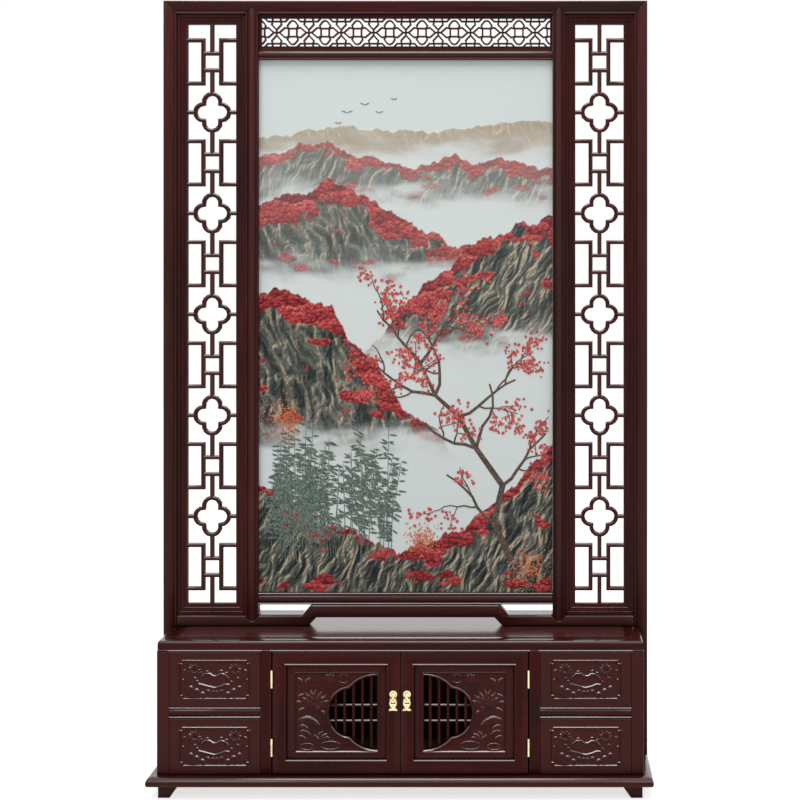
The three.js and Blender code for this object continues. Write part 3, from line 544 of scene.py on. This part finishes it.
for side, sx in SIDES:
    low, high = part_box(f"door_frame_{side}")
    x0, x1 = sorted((abs(low[0]), abs(high[0])))
    edge = STILE - 2.4 * MM
    frame_bead = Relief(low[1], sx)
    frame_bead.strip(rectangle(x0 + edge, x1 - edge, low[2] + edge, high[2] - edge), 2.4 * MM, 1.9 * MM)
    frame_bead.finish(f"door_bead_{side}", f"door_frame_{side}", BEADED, 30)
    panel_low, panel_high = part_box(f"door_panel_{side}")
    p0, p1 = sorted((abs(panel_low[0]), abs(panel_high[0])))
    centre = (panel_low[2] + panel_high[2]) / 2 - WINDOW_DROP
    mouldings = Relief(panel_low[1], sx)
    inset = 17 * MM
    field = rectangle(p0 + WINDOW_EDGE, p1 - 20.5 * MM, panel_low[2] + inset, panel_high[2] - inset)
    mouldings.strip(field, 2.6 * MM, 2.2 * MM)
    mouldings.strip(window_rim(p0 + WINDOW_EDGE, centre, 2.8 * MM), 2.8 * MM, 2.1 * MM, loop=False)
    mouldings.finish(f"panel_moulding_{side}", f"door_panel_{side}", CARVED, 30)
    carving = Relief(panel_low[1] + 0.2 * MM, sx)
    lotus_pond(carving)
    carving.finish(f"lotus_carving_{side}", f"door_panel_{side}", CARVED)
    bars = Relief(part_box(f"door_grille_{side}")[0][1] + 0.4 * MM, sx)
    near = p0 + WINDOW_EDGE
    for level in (-GRILLE_SPREAD, GRILLE_SPREAD):
        z = centre - GRILLE_DROP + level
        for bar in range(6):
            start = near + (17 + 21.2 * (bar - 1) + 3.4) * MM if bar else near
            stop = min(near + (17 + 21.2 * bar - 3.4) * MM, near + SIDE_REACH + SIDE_LOBE)
            bars.strip([(start, z), (stop, z)], 3.0 * MM, 2.2 * MM, loop=False)
    bars.finish(f"grille_beads_{side}", f"door_grille_{side}", BEADED, 30)


# Drawer fronts: a raised frame with stepped corners and small balls round leaves and a cloud cartouche
def stepped_frame(cx, cz, half_x, half_z, step):
    corners = []
    for sx_, sz_ in ((-1, -1), (1, -1), (1, 1), (-1, 1)):
        outer = [
            (cx + sx_ * half_x, cz + sz_ * (half_z - step)),
            (cx + sx_ * (half_x - step), cz + sz_ * (half_z - step)),
            (cx + sx_ * (half_x - step), cz + sz_ * half_z),
        ]
        corners.extend(outer if sx_ * sz_ > 0 else outer[::-1])
    return corners


CARTOUCHE_TOP = ((-33, -2), (-31, 7), (-22, 14), (-11, 14), (-4, 8.5), (6, 8.5), (14, 14), (25, 12), (32, 4), (31, -5))
CARTOUCHE_FOOT = ((-38, -10), (-29, -12), (-15, -16), (0, -19.5), (14, -16), (26, -11), (35, -12))
DRAWER_LEAVES = (
    (-23, 15, -12, 20, 7, 2), (10, 18, 22, 20, 7, 2), (22, 14, 34, 15, 6, 2), (-40, 14, -27, 17, 6, 2),
    (-63, -19, -49, -23, 10, 3), (-50, -25, -35, -31, 11, 3), (-36, -33, -21, -38, 10, 3),
    (65, -19, 51, -23, 10, -3), (52, -25, 37, -31, 11, -3), (38, -33, 23, -38, 10, -3),
    (-79, 0, -69, -3, 6, 1), (80, 0, 71, -3, 6, -1), (-78, 18, -66, 23, 6, 1), (79, 18, 67, 23, 6, -1),
    (50, 5, 60, -1, 7, 2), (-52, 6, -40, 2, 6, -2), (-46, -3, -36, -8, 6, 2), (36, -3, 46, -7, 6, -2),
    (-20, -24, -8, -31, 8, -2), (-7, -26, -1, -34, 8, 0), (7, -26, 1, -34, 8, 0), (20, -24, 8, -31, 8, 2),
)


def carve_drawer(relief, cx, cz):
    def at(x, z):
        return cx + x * MM, cz + z * MM

    relief.strip(stepped_frame(cx, cz, 0.083, 0.0451, 0.0075), 2.3 * MM, 2.2 * MM)
    for ux in (-1, 1):
        for uz in (-1, 1):
            relief.ball(*at(81.5 * ux, 38.0 * uz), 2.6 * MM)
            relief.ball(*at(75.5 * ux, 36.0 * uz), 2.2 * MM)
        for ring, (count, reach, width) in enumerate(((9, 19.0, 9.5), (7, 12.0, 7.5))):
            for index in range(count):
                a = 2 * math.pi * (index + 0.5 * ring) / count
                base = at(48 * ux + 3 * math.cos(a), 23 + 3 * math.sin(a))
                tip = at(48 * ux + reach * math.cos(a), 23 + 0.85 * reach * math.sin(a))
                relief.petal(base, tip, width * MM, 0.36 * width * MM, bend=1.2 * ux * MM, steps=4)
        relief.ball(*at(48 * ux, 23), 3.4 * MM, 4.4 * MM)
        stem = [at(x * ux, z) for x, z in ((-72, 4), (-67, -3), (-60, -9))]
        relief.bead(stem, 1.2 * MM, 2.0 * MM, loop=False, sides=6)
    stem = [at(x, z) for x, z in ((-72, -22), (-68, -31), (-61, -38), (-52, -43), (-44, -44))]
    relief.bead(stem, 1.5 * MM, 2.2 * MM, loop=False, sides=6)
    relief.strip([at(x, z) for x, z in CARTOUCHE_TOP], 2.8 * MM, 2.2 * MM, loop=False)
    relief.strip([at(x, z) for x, z in CARTOUCHE_FOOT], 2.8 * MM, 2.2 * MM, loop=False)
    for x0, z0, x1, z1, width, bend in DRAWER_LEAVES:
        relief.petal(at(x0, z0), at(x1, z1), 1.15 * width * MM, 0.36 * width * MM, bend=bend * MM)


for side, sx in SIDES:
    for row in ("upper", "lower"):
        node = f"drawer_front_{row}_{side}"
        low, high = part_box(node)
        relief = Relief(low[1] + 0.2 * MM)
        carve_drawer(relief, (low[0] + high[0]) / 2, (low[2] + high[2]) / 2)
        relief.finish(f"drawer_carving_{row}_{side}", node, CARVED, 38)

# Beads along the top of each bay and on both edges of the drawer dividers
top_low, top_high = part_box("top_frame")
partition_low, partition_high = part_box("partition_right")
post_low, post_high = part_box("corner_post_front_right")
bay = (partition_high[0] - 3 * MM, post_low[0] + 3 * MM)
middle_bay = partition_low[0] + 2 * MM
top_beads = Relief(top_low[1])
for x0, x1 in (bay, (-middle_bay, middle_bay), (-bay[1], -bay[0])):
    top_beads.strip([(x0, top_low[2] + 2 * MM), (x1, top_low[2] + 2 * MM)], 2.0 * MM, 1.6 * MM, loop=False)
top_beads.finish("bay_beads", "top_frame", BEADED, 30)
for side, sx in SIDES:
    low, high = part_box(f"drawer_divider_{side}")
    rail_beads = Relief(low[1])
    for z in (high[2] - 2 * MM, low[2] + 2 * MM):
        rail_beads.strip([(low[0], z), (high[0], z)], 2.0 * MM, 1.6 * MM, loop=False)
    rail_beads.finish(f"divider_beads_{side}", f"drawer_divider_{side}", BEADED, 30)

# Lines on the screen: under the crest between the posts, and on the beads of the picture rails
screen_low, screen_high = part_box("crest_rail")
post_low, post_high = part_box("inner_post_right")
lattice_low, lattice_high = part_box("lattice_right")
crest = Relief(screen_low[1] + 1.8 * MM)
line_z = screen_low[2] + 2.7 * MM
spans = (
    (post_high[0] + 2.7 * MM, lattice_high[0] + 2.7 * MM),
    (2.7 * MM - post_low[0], post_low[0] - 2.7 * MM),
    (-lattice_high[0] - 2.7 * MM, -post_high[0] - 2.7 * MM),
)
for x0, x1 in spans:
    crest.strip([(x0, line_z), (x1, line_z)], 2.4 * MM, 1.6 * MM, loop=False)
crest.finish("crest_line", "crest_rail", lacquer("screen_wood", 0), 30)
for rail, ends in (("picture_top_rail", (0,)), ("picture_bottom_rail", (0, 1))):
    low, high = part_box(rail)
    line = Relief(low[1])
    for end in ends:
        z = high[2] - 2.2 * MM if end else low[2] + 2.2 * MM
        line.strip([(low[0], z), (high[0], z)], 2.0 * MM, 1.4 * MM, loop=False)
    line.finish(f"{rail}_lines", rail, lacquer("screen_wood", 0), 30)

# Rounded faces on the lattice bars
BAR = (
    (-1, -0.5 * MM), (-1, 0), (-0.64, 1.7 * MM), (-0.2, 2.8 * MM), (0.2, 2.8 * MM), (0.64, 1.7 * MM), (1, 0),
    (1, -0.5 * MM),
)
BAR_HALF = 4.9 * MM
FOIL = ((21.5, 0, -94.6, 94.6), (0, 25.5, -14.3, 194.3), (-21.5, 0, 85.4, 274.6), (0, -25.5, 165.7, 374.3))
for side, _ in SIDES:
    low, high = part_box(f"lattice_{side}")
    middle = (low[0] + high[0]) / 2
    left, right = low[0] + 23.6 * MM, high[0] - 23.6 * MM
    foot, top = low[2] + 27.3 * MM, high[2] - 24.6 * MM
    pitch = (top - foot - (89.5 + 91.9) * MM) / 5
    faces = Relief(low[1] + 7 * MM)

    def bar(points, loop=False):
        faces.sweep(points, BAR_HALF, BAR, loop)

    for index in range(6):
        level = foot + 89.5 * MM + index * pitch
        for edge, stem in ((left, middle - 22 * MM), (right, middle + 22 * MM)):
            up, down = level + 53.5 * MM, level - 53.5 * MM
            bar([(edge, up), (stem, up), (stem, down), (edge, down)])
        for z in (level - 20.8 * MM, level + 20.8 * MM):
            bar([(middle - 19 * MM, z), (middle + 19 * MM, z)])
        below = level - pitch / 2 + 44 * MM if index else foot - MM
        above = level + pitch / 2 - 44 * MM if index < 5 else top + MM
        bar([(middle, below), (middle, level - 24 * MM)])
        bar([(middle, level + 24 * MM), (middle, above)])
        if index:
            z = level - pitch / 2
            outline = []
            for dx, dz, start, stop in FOIL:
                outline += arc_points(middle + dx * MM, z + dz * MM, 20.5 * MM, 20.5 * MM, start, stop, 8)[1:]
            bar(outline, True)
            bar([(left, z), (middle - 40 * MM, z)])
            bar([(middle + 40 * MM, z), (right, z)])
    faces.finish(f"lattice_faces_{side}", f"lattice_{side}", lacquer("screen_wood", 2), 40)

# Brass rosettes on the pull plates, and ribs, two small leaves and dots chased on each drop
for side, sx in SIDES:
    low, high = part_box(f"pull_plate_{side}")
    cx = (abs(low[0]) + abs(high[0])) / 2
    cz = (low[2] + high[2]) / 2
    rosette = Relief(high[1] - 2 * MM, sx)
    for k in range(10):
        turn = 2 * math.pi * (k + 0.5) / 10
        rosette.petal(
            (cx + 3.2 * MM * math.cos(turn), cz + 3.2 * MM * math.sin(turn)),
            (cx + 8.8 * MM * math.cos(turn), cz + 8.8 * MM * math.sin(turn)),
            4.2 * MM, 1.0 * MM, steps=4,
        )
    rosette.finish(f"pull_rosette_{side}", f"pull_plate_{side}", (brass,))
    low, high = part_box(f"pull_drop_{side}")
    chased = Relief((low[1] + high[1]) / 2 - 1.4 * MM, sx)
    foot = low[2]
    for ux in (-1, 1):
        rib = [(cx + ux * x * MM, foot + z * MM) for x, z in ((4.8, 8.6), (6.9, 12.5), (7.5, 18), (6.6, 23), (6.4, 28))]
        chased.bead(rib, 0.9 * MM, loop=False, taper=0.7, sides=6)
        chased.petal((cx + ux * 1.2 * MM, foot + 4.2 * MM), (cx + ux * 8.6 * MM, foot + 1.4 * MM), 3.0 * MM, 0.9 * MM)
    for z in (8.0, 15.0, 21.4, 29.0):
        chased.ball(cx, foot + z * MM, 1.3 * MM, 0.9 * MM)
    chased.finish(f"drop_chasing_{side}", f"pull_drop_{side}", (brass,))

# The embroidered picture: a generic view of crags and crimson woods over mist, with a blossoming tree
cloth_low, cloth_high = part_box("embroidery")
WIDTH = cloth_high[0] - cloth_low[0]
HEIGHT = cloth_high[2] - cloth_low[2]
STEP = 2.2 * MM
columns = round(WIDTH / STEP)
rows = round(HEIGHT / STEP)
SKY = (0.630, 0.690, 0.678)
MIST = (0.668, 0.718, 0.702)
STONE = (
    (0.00, (0.006, 0.009, 0.009)), (0.32, (0.026, 0.034, 0.032)), (0.56, (0.078, 0.088, 0.077)),
    (0.78, (0.205, 0.195, 0.155)), (1.00, (0.540, 0.450, 0.320)),
)
OCHRE = (0.66, 0.56, 0.43)
GREY = (0.50, 0.53, 0.50)
CRIMSON = (
    (0.00, (0.070, 0.006, 0.010)), (0.34, (0.260, 0.020, 0.027)), (0.62, (0.520, 0.065, 0.066)),
    (0.85, (0.680, 0.180, 0.155)), (1.00, (0.780, 0.330, 0.280)),
)
# Each range: crest heights across the picture, swell of its outline, lean of its folds, share and
# tint of haze, level at which it sinks into mist, depth of its woods in millimetres
RANGES = (
    (((0, 0.850), (0.3, 0.872), (0.6, 0.858), (1, 0.888)), 0.016, 0.5, 0.62, OCHRE, 0.834, 0),
    (((0, 0.815), (0.2, 0.836), (0.45, 0.785), (0.75, 0.815), (1, 0.790)), 0.024, -0.4, 0.32, GREY, 0.752, 30),
    (((0, 0.715), (0.2, 0.765), (0.4, 0.715), (0.62, 0.640), (1, 0.590)), 0.034, 0.45, 0.14, GREY, 0.610, 58),
    (((0, 0.410), (0.35, 0.430), (0.55, 0.540), (0.75, 0.640), (1, 0.680)), 0.038, -0.5, 0.06, GREY, 0.475, 66),
    (((0, 0.545), (0.16, 0.565), (0.34, 0.470), (0.5, 0.340), (0.7, 0.230), (1, 0.160)), 0.036, 0.4, 0.0, GREY, 0.290, 66),
    (((0, 0.190), (0.25, 0.120), (0.5, 0.070), (0.75, 0.155), (1, 0.265)), 0.036, -0.35, 0.0, GREY, -1.0, 40),
)


def ripples(x, z, seed):
    """Smooth chance heights from about -1 to 1, one hill or hollow to each unit."""
    turns = np.random.default_rng(seed).random((64, 64)) * 2 * math.pi
    lean_x, lean_z = np.cos(turns), np.sin(turns)
    x0, z0 = np.floor(x).astype(int), np.floor(z).astype(int)
    dx, dz = x - x0, z - z0

    def corner(i, j):
        at = ((x0 + i) % 64, (z0 + j) % 64)
        return lean_x[at] * (dx - i) + lean_z[at] * (dz - j)

    share_x = dx ** 3 * (dx * (6 * dx - 15) + 10)
    share_z = dz ** 3 * (dz * (6 * dz - 15) + 10)
    low = corner(0, 0) + (corner(1, 0) - corner(0, 0)) * share_x
    high = corner(0, 1) + (corner(1, 1) - corner(0, 1)) * share_x
    return 1.6 * (low + (high - low) * share_z)


def layered(x, z, seed, layers=5, folded=False):
    """Ripples of finer and finer size; folded ones meet in sharp crests."""
    total = 0
    for k in range(layers):
        wave = ripples(x * 2 ** k + 7.3 * k, z * 2 ** k + 3.1 * k, seed + k)
        if folded:
            wave = 1 - 2 * np.abs(wave)
        total = total + wave * 0.55 ** k
    return total * 0.45


def clumps(x, z, seed):
    """Distance to the nearest of a grid of shifted points, and how far above it each place lies."""
    chance = np.random.default_rng(seed).random((2, 128, 128))
    x0, z0 = np.floor(x).astype(int), np.floor(z).astype(int)
    nearest = np.full(x.shape, 9.0)
    above = np.zeros(x.shape)
    for i in (-1, 0, 1):
        for j in (-1, 0, 1):
            at = ((x0 + i) % 128, (z0 + j) % 128)
            dx = x - (x0 + i + chance[0][at])
            dz = z - (z0 + j + chance[1][at])
            distance = np.hypot(dx, dz)
            above = np.where(distance < nearest, dz, above)
            nearest = np.minimum(nearest, distance)
    return nearest, above


def shades(tone, stops):
    places, colours = zip(*stops)
    return np.stack([np.interp(tone, places, channel) for channel in zip(*colours)], axis=-1)


def laid_over(under, over, share):
    return under + (np.array(over) - under) * np.clip(share, 0, 1)[..., None]


def crest_line(u, knots, swell, seed):
    """A smooth run through the knots with soft and sharp swells on it."""
    places, heights = zip(*knots)
    smooth = np.interp(u, places, heights)
    smooth = np.convolve(np.pad(smooth, 16, mode="edge"), np.ones(33) / 33, mode="valid")
    soft = layered(u * 3.5, 0 * u + 0.4, seed)
    sharp = layered(u * 6.5, 0 * u + 0.7, seed + 9, folded=True)
    return smooth + swell * (1.1 * soft + 0.9 * sharp)


def paint_cloth():
    """Shades and share of stitching for each point, from the far hills to the near rocks."""
    u = np.linspace(0, 1, columns + 1)
    x, z = np.meshgrid(u * WIDTH / MM, np.linspace(0, 1, rows + 1) * HEIGHT / MM)
    flecks = np.random.default_rng(5).standard_normal(x.shape)
    drift = layered(x / 160, z / 60, 90, 3)
    shade = laid_over(np.broadcast_to(SKY, (*x.shape, 3)), MIST, 1.1 - z * MM / HEIGHT)
    stitched = np.zeros(x.shape)
    for k, (knots, swell, lean, haze, tint, foot, woods) in enumerate(RANGES):
        seed = 100 + 20 * k
        crest = crest_line(u, knots, swell, seed) * HEIGHT / MM
        depth = crest[None, :] - z + 3.5 * layered(x / 16, z / 16, seed + 1, 3)
        inside = np.clip(depth / 2.5, 0, 1)
        level = foot * HEIGHT / MM + 70 * drift
        body = inside / (1 + np.exp((level - z) / 13))
        along = x + lean * z + 30 * layered(x / 90, z / 120, seed + 2, 3)
        upward = z + 24 * layered(x / 60, z / 60, seed + 3, 3)
        relief = layered(along / 38, upward / 96, seed + 4, 5, folded=True)
        rise, run = np.gradient(relief, STEP / MM)
        tone = 0.29 + 5.6 * (0.6 * rise - 0.8 * run) + 0.62 * relief + 0.04 * flecks
        tone = tone + 0.20 * layered(x / 80, z / 80, seed + 8, 3)
        stone = laid_over(shades(tone, STONE), tint, haze * np.ones(x.shape))
        shade = laid_over(laid_over(shade, MIST, inside), stone, body)
        stitched = stitched * (1 - inside) + body
        if woods:
            mound, over = clumps(x / 50, z / 36, seed + 5)
            tuft, above = clumps(x / 11, z / 9, seed + 6)
            cover = woods * (0.8 + 1.9 * layered(x / 120, z / 80, seed + 7, 3)) - depth
            patch = 70 * (layered(x / 150, z / 60, seed + 9, 3) - 0.32)
            cover = np.maximum(cover, patch) + 20 - 34 * mound - 6 * tuft
            leaf = np.clip(cover / 3, 0, 1) * inside
            tone = 0.56 + 0.36 * over + 0.42 * above - 0.42 * tuft + 0.10 * flecks
            tone = tone + 0.22 * layered(x / 60, z / 50, seed + 10, 3)
            crimson = laid_over(shades(tone, CRIMSON), (0.66, 0.50, 0.46), 0.8 * haze * np.ones(x.shape))
            shade = laid_over(shade, crimson, leaf * body)
    return shade, np.clip(stitched, 0, 1)


def build_cloth():
    shade, stitched = paint_cloth()
    y = cloth_low[1] + 1.2 * MM
    verts = [
        (
            cloth_low[0] + WIDTH * i / columns,
            y - 0.5 * MM * float(stitched[j, i]),
            cloth_low[2] + HEIGHT * j / rows,
        )
        for j in range(rows + 1) for i in range(columns + 1)
    ]
    across = columns + 1
    faces = [
        (j * across + i, j * across + i + 1, (j + 1) * across + i + 1, (j + 1) * across + i)
        for j in range(rows) for i in range(columns)
    ]
    mesh = bpy.data.meshes.new("silk_cloth")
    mesh.from_pydata(verts, [], faces)
    colours = mesh.color_attributes.new("shade", "FLOAT_COLOR", "POINT")
    flat = np.concatenate([shade.reshape(-1, 3), np.ones((shade.shape[0] * shade.shape[1], 1))], axis=1)
    colours.data.foreach_set("color", flat.astype(np.float32).ravel())
    mask = mesh.attributes.new("stitched", "FLOAT", "POINT")
    mask.data.foreach_set("value", stitched.astype(np.float32).ravel())
    obj = bpy.data.objects.new("silk_cloth", mesh)
    bpy.context.scene.collection.objects.link(obj)
    for face in mesh.polygons:
        face.use_smooth = True
    dress(obj, (silk_material(),))
    return obj


cloth = build_cloth()
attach(cloth, body_of["embroidery"])
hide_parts("embroidery")

# The tree: limbs grown from a few chosen bends, blossoms at the twigs, bamboo at its foot
rng = random.Random(41)


def place(u, v):
    return cloth_low[0] + WIDTH * u, cloth_low[2] + HEIGHT * v


limbs = Relief(cloth_low[1] + 0.9 * MM)
blossoms = Relief(cloth_low[1] + 0.2 * MM)
leaves = Relief(cloth_low[1] + 0.6 * MM)
clusters = []


def limb(start, heading, length, radius, depth):
    points = [Vector(start)]
    angle = heading
    for _ in range(6):
        angle += rng.uniform(-0.42, 0.42)
        step = Vector((math.cos(angle), math.sin(angle))) * length / 6
        points.append(points[-1] + step)
    inside = [p for p in points if cloth_low[0] + 8 * MM < p.x < cloth_high[0] - 8 * MM]
    if len(inside) < 3:
        return
    limbs.bead([tuple(p) for p in inside], radius, 1.3 * MM, loop=False, taper=0.5, sides=6)
    if depth == 0 or radius < 1.6 * MM:
        clusters.append(inside[-1])
        clusters.append(inside[len(inside) // 2])
        return
    for index in range(2, len(inside)):
        if rng.random() < 0.62:
            turn = rng.choice((-1, 1)) * rng.uniform(0.5, 1.05)
            limb(tuple(inside[index]), angle + turn, length * rng.uniform(0.45, 0.62), radius * 0.52, depth - 1)


TRUNK = ((0.86, 0.06), (0.80, 0.13), (0.83, 0.20), (0.74, 0.27), (0.68, 0.33), (0.60, 0.37), (0.55, 0.43))
trunk = [Vector(place(*point)) for point in TRUNK]
limbs.bead([tuple(p) for p in trunk], 9 * MM, 1.5 * MM, loop=False, taper=0.4, sides=8)
for index, heading in ((1, 2.6), (2, 0.5), (3, 2.9), (3, 1.2), (4, 0.7), (5, 2.8), (5, 1.4), (6, 2.3), (6, 1.0)):
    limb(tuple(trunk[index]), heading, 0.17, 4.2 * MM, 2)
BARK = thread("bark_thread", (0.022, 0.014, 0.010), (0.085, 0.055, 0.042), (0.20, 0.14, 0.105))
limbs.finish("embroidered_limbs", "embroidery", (BARK,))


def blossom(x, z, size):
    start = rng.uniform(0, 2 * math.pi)
    for k in range(5):
        turn = start + 2 * math.pi * k / 5
        blossoms.petal((x, z), (x + size * math.cos(turn), z + size * math.sin(turn)), size * 0.8, 0.5 * MM, groove=0.0, steps=2)


for cluster in clusters:
    for _ in range(11):
        x = cluster.x + rng.gauss(0, 13 * MM)
        z = cluster.y + rng.gauss(0, 9 * MM)
        if cloth_low[0] + 10 * MM < x < cloth_high[0] - 10 * MM:
            blossom(x, z, rng.uniform(3.0, 5.4) * MM)
BLOSSOM = thread("blossom_thread", (0.26, 0.016, 0.022), (0.55, 0.065, 0.065), (0.80, 0.26, 0.22))
blossoms.finish("embroidered_blossoms", "embroidery", (BLOSSOM,))

for k in range(58):
    u = rng.uniform(0.04, 0.46)
    x, z = place(u, rng.uniform(0.05, 0.13))
    height = rng.uniform(0.12, 0.30)
    sway = rng.uniform(-0.03, 0.03)
    stalk = [(x, z), (x + sway * 0.4, z + height * 0.5), (x + sway, z + height)]
    leaves.bead(stalk, 1.1 * MM, 0.9 * MM, loop=False, taper=0.5, sides=5)
    for _ in range(26):
        t = rng.uniform(0.25, 1.0)
        lx = x + sway * t
        lz = z + height * t
        turn = rng.choice((0.0, math.pi)) + rng.uniform(-0.9, 0.2)
        long = rng.uniform(14, 26) * MM
        tip = (min(max(lx + long * math.cos(turn), cloth_low[0] + 3 * MM), cloth_high[0] - 3 * MM), lz + long * math.sin(turn) * 0.8)
        leaves.petal((lx, lz), tip, 5.0 * MM, 0.7 * MM, steps=3)
BAMBOO = thread("bamboo_thread", (0.030, 0.048, 0.040), (0.10, 0.14, 0.115), (0.25, 0.30, 0.25))
leaves.finish("embroidered_bamboo", "embroidery", (BAMBOO,))

# A few birds in the sky and orange shrubs among the near rocks
birds = Relief(cloth_low[1] + 0.6 * MM)
for u, v, size in ((0.30, 0.90, 15), (0.36, 0.915, 12), (0.41, 0.90, 10), (0.27, 0.88, 9), (0.46, 0.925, 8)):
    x, z = place(u, v)
    for ux in (-1, 1):
        birds.petal((x, z), (x + ux * size * MM, z + size * 0.45 * MM), 2.2 * MM, 0.6 * MM, bend=ux * 2 * MM)
BIRD = thread("bird_thread", (0.03, 0.03, 0.03), (0.09, 0.09, 0.09), (0.3, 0.3, 0.3))
birds.finish("embroidered_birds", "embroidery", (BIRD,))
shrubs = Relief(cloth_low[1] + 0.2 * MM)
for u, v, wide, high in ((0.56, 0.100, 52, 46), (0.92, 0.045, 50, 52), (0.09, 0.325, 44, 58)):
    cx, cz = place(u, v)
    for _ in range(240):
        x = cx + rng.gauss(0, 0.42 * wide) * MM
        z = cz + rng.gauss(0, 0.42 * high) * MM
        x = min(max(x, cloth_low[0] + 8 * MM), cloth_high[0] - 8 * MM)
        z = max(z, cloth_low[2] + 8 * MM)
        turn = rng.uniform(0, 2 * math.pi)
        long = rng.uniform(4, 8) * MM
        shrubs.petal((x, z), (x + long * math.cos(turn), z + long * math.sin(turn)), 3.0 * MM, 0.5 * MM, steps=2)
SHRUB = thread("shrub_thread", (0.34, 0.060, 0.020), (0.64, 0.17, 0.06), (0.82, 0.36, 0.18))
shrubs.finish("embroidered_shrubs", "embroidery", (SHRUB,))


# Floor, light and camera. The background is white to the camera, to polish and to glass.
def seen_directly(tree):
    rays = tree.nodes.new("ShaderNodeLightPath")
    first = tree.nodes.new("ShaderNodeMath")
    first.operation = "MAXIMUM"
    link(tree, rays.outputs["Is Camera Ray"], first.inputs[0])
    link(tree, rays.outputs["Is Transmission Ray"], first.inputs[1])
    second = tree.nodes.new("ShaderNodeMath")
    second.operation = "MAXIMUM"
    link(tree, first.outputs["Value"], second.inputs[0])
    link(tree, rays.outputs["Is Glossy Ray"], second.inputs[1])
    return second.outputs["Value"]


def plain_floor():
    built = bmesh.new()
    bmesh.ops.create_grid(built, x_segments=2, y_segments=2, size=9)
    mesh = bpy.data.meshes.new("floor")
    built.to_mesh(mesh)
    built.free()
    obj = bpy.data.objects.new("floor", mesh)
    bpy.context.scene.collection.objects.link(obj)
    material, tree, shader = new_material("floor")
    shader.inputs["Base Color"].default_value = (0.8, 0.8, 0.8, 1)
    shader.inputs["Roughness"].default_value = 0.9
    shader.inputs["Specular IOR Level"].default_value = 0.0
    shader.inputs["Emission Color"].default_value = (1, 1, 1, 1)
    link(tree, scaled(tree, seen_directly(tree), 0.0, 0.70), shader.inputs["Emission Strength"])
    dress(obj, (material,))


def area_lamp(name, place_at, target, size, power):
    lamp = bpy.data.lights.new(name, "AREA")
    lamp.shape = "RECTANGLE"
    lamp.size, lamp.size_y = size
    lamp.energy = power
    obj = bpy.data.objects.new(name, lamp)
    obj.location = place_at
    obj.rotation_euler = (Vector(target) - Vector(place_at)).to_track_quat("-Z", "Y").to_euler()
    bpy.context.scene.collection.objects.link(obj)


def studio():
    world = bpy.data.worlds.new("studio")
    world.use_nodes = True
    bpy.context.scene.world = world
    tree = world.node_tree
    background = tree.nodes["Background"]
    background.inputs["Color"].default_value = (1, 1, 1, 1)
    link(tree, scaled(tree, seen_directly(tree), 0.46, 1.0), background.inputs["Strength"])
    area_lamp("overhead", (-0.2, -0.9, 4.0), (-0.2, -0.899, 0), (2.6, 2.4), 108)
    area_lamp("key", (-2.4, -3.6, 3.0), (0, 0, 1.0), (1.6, 1.6), 18)
    area_lamp("fill", (2.8, -3.4, 2.2), (0, 0, 1.0), (1.6, 1.6), 11)


def photo_camera():
    """The photograph is level and straight on; its shift carries the off-centre viewpoint."""
    data = bpy.data.cameras.new("camera")
    data.sensor_width = 36
    data.lens = 71.1
    data.shift_x = -0.1684
    data.shift_y = -0.1875
    data.clip_end = 50
    obj = bpy.data.objects.new("camera", data)
    obj.location = (0.319, -3.913, 1.300)
    obj.rotation_euler = (math.pi / 2, 0, 0)
    bpy.context.scene.collection.objects.link(obj)
    bpy.context.scene.camera = obj


plain_floor()
studio()
photo_camera()
bpy.context.scene.view_settings.view_transform = "Standard"
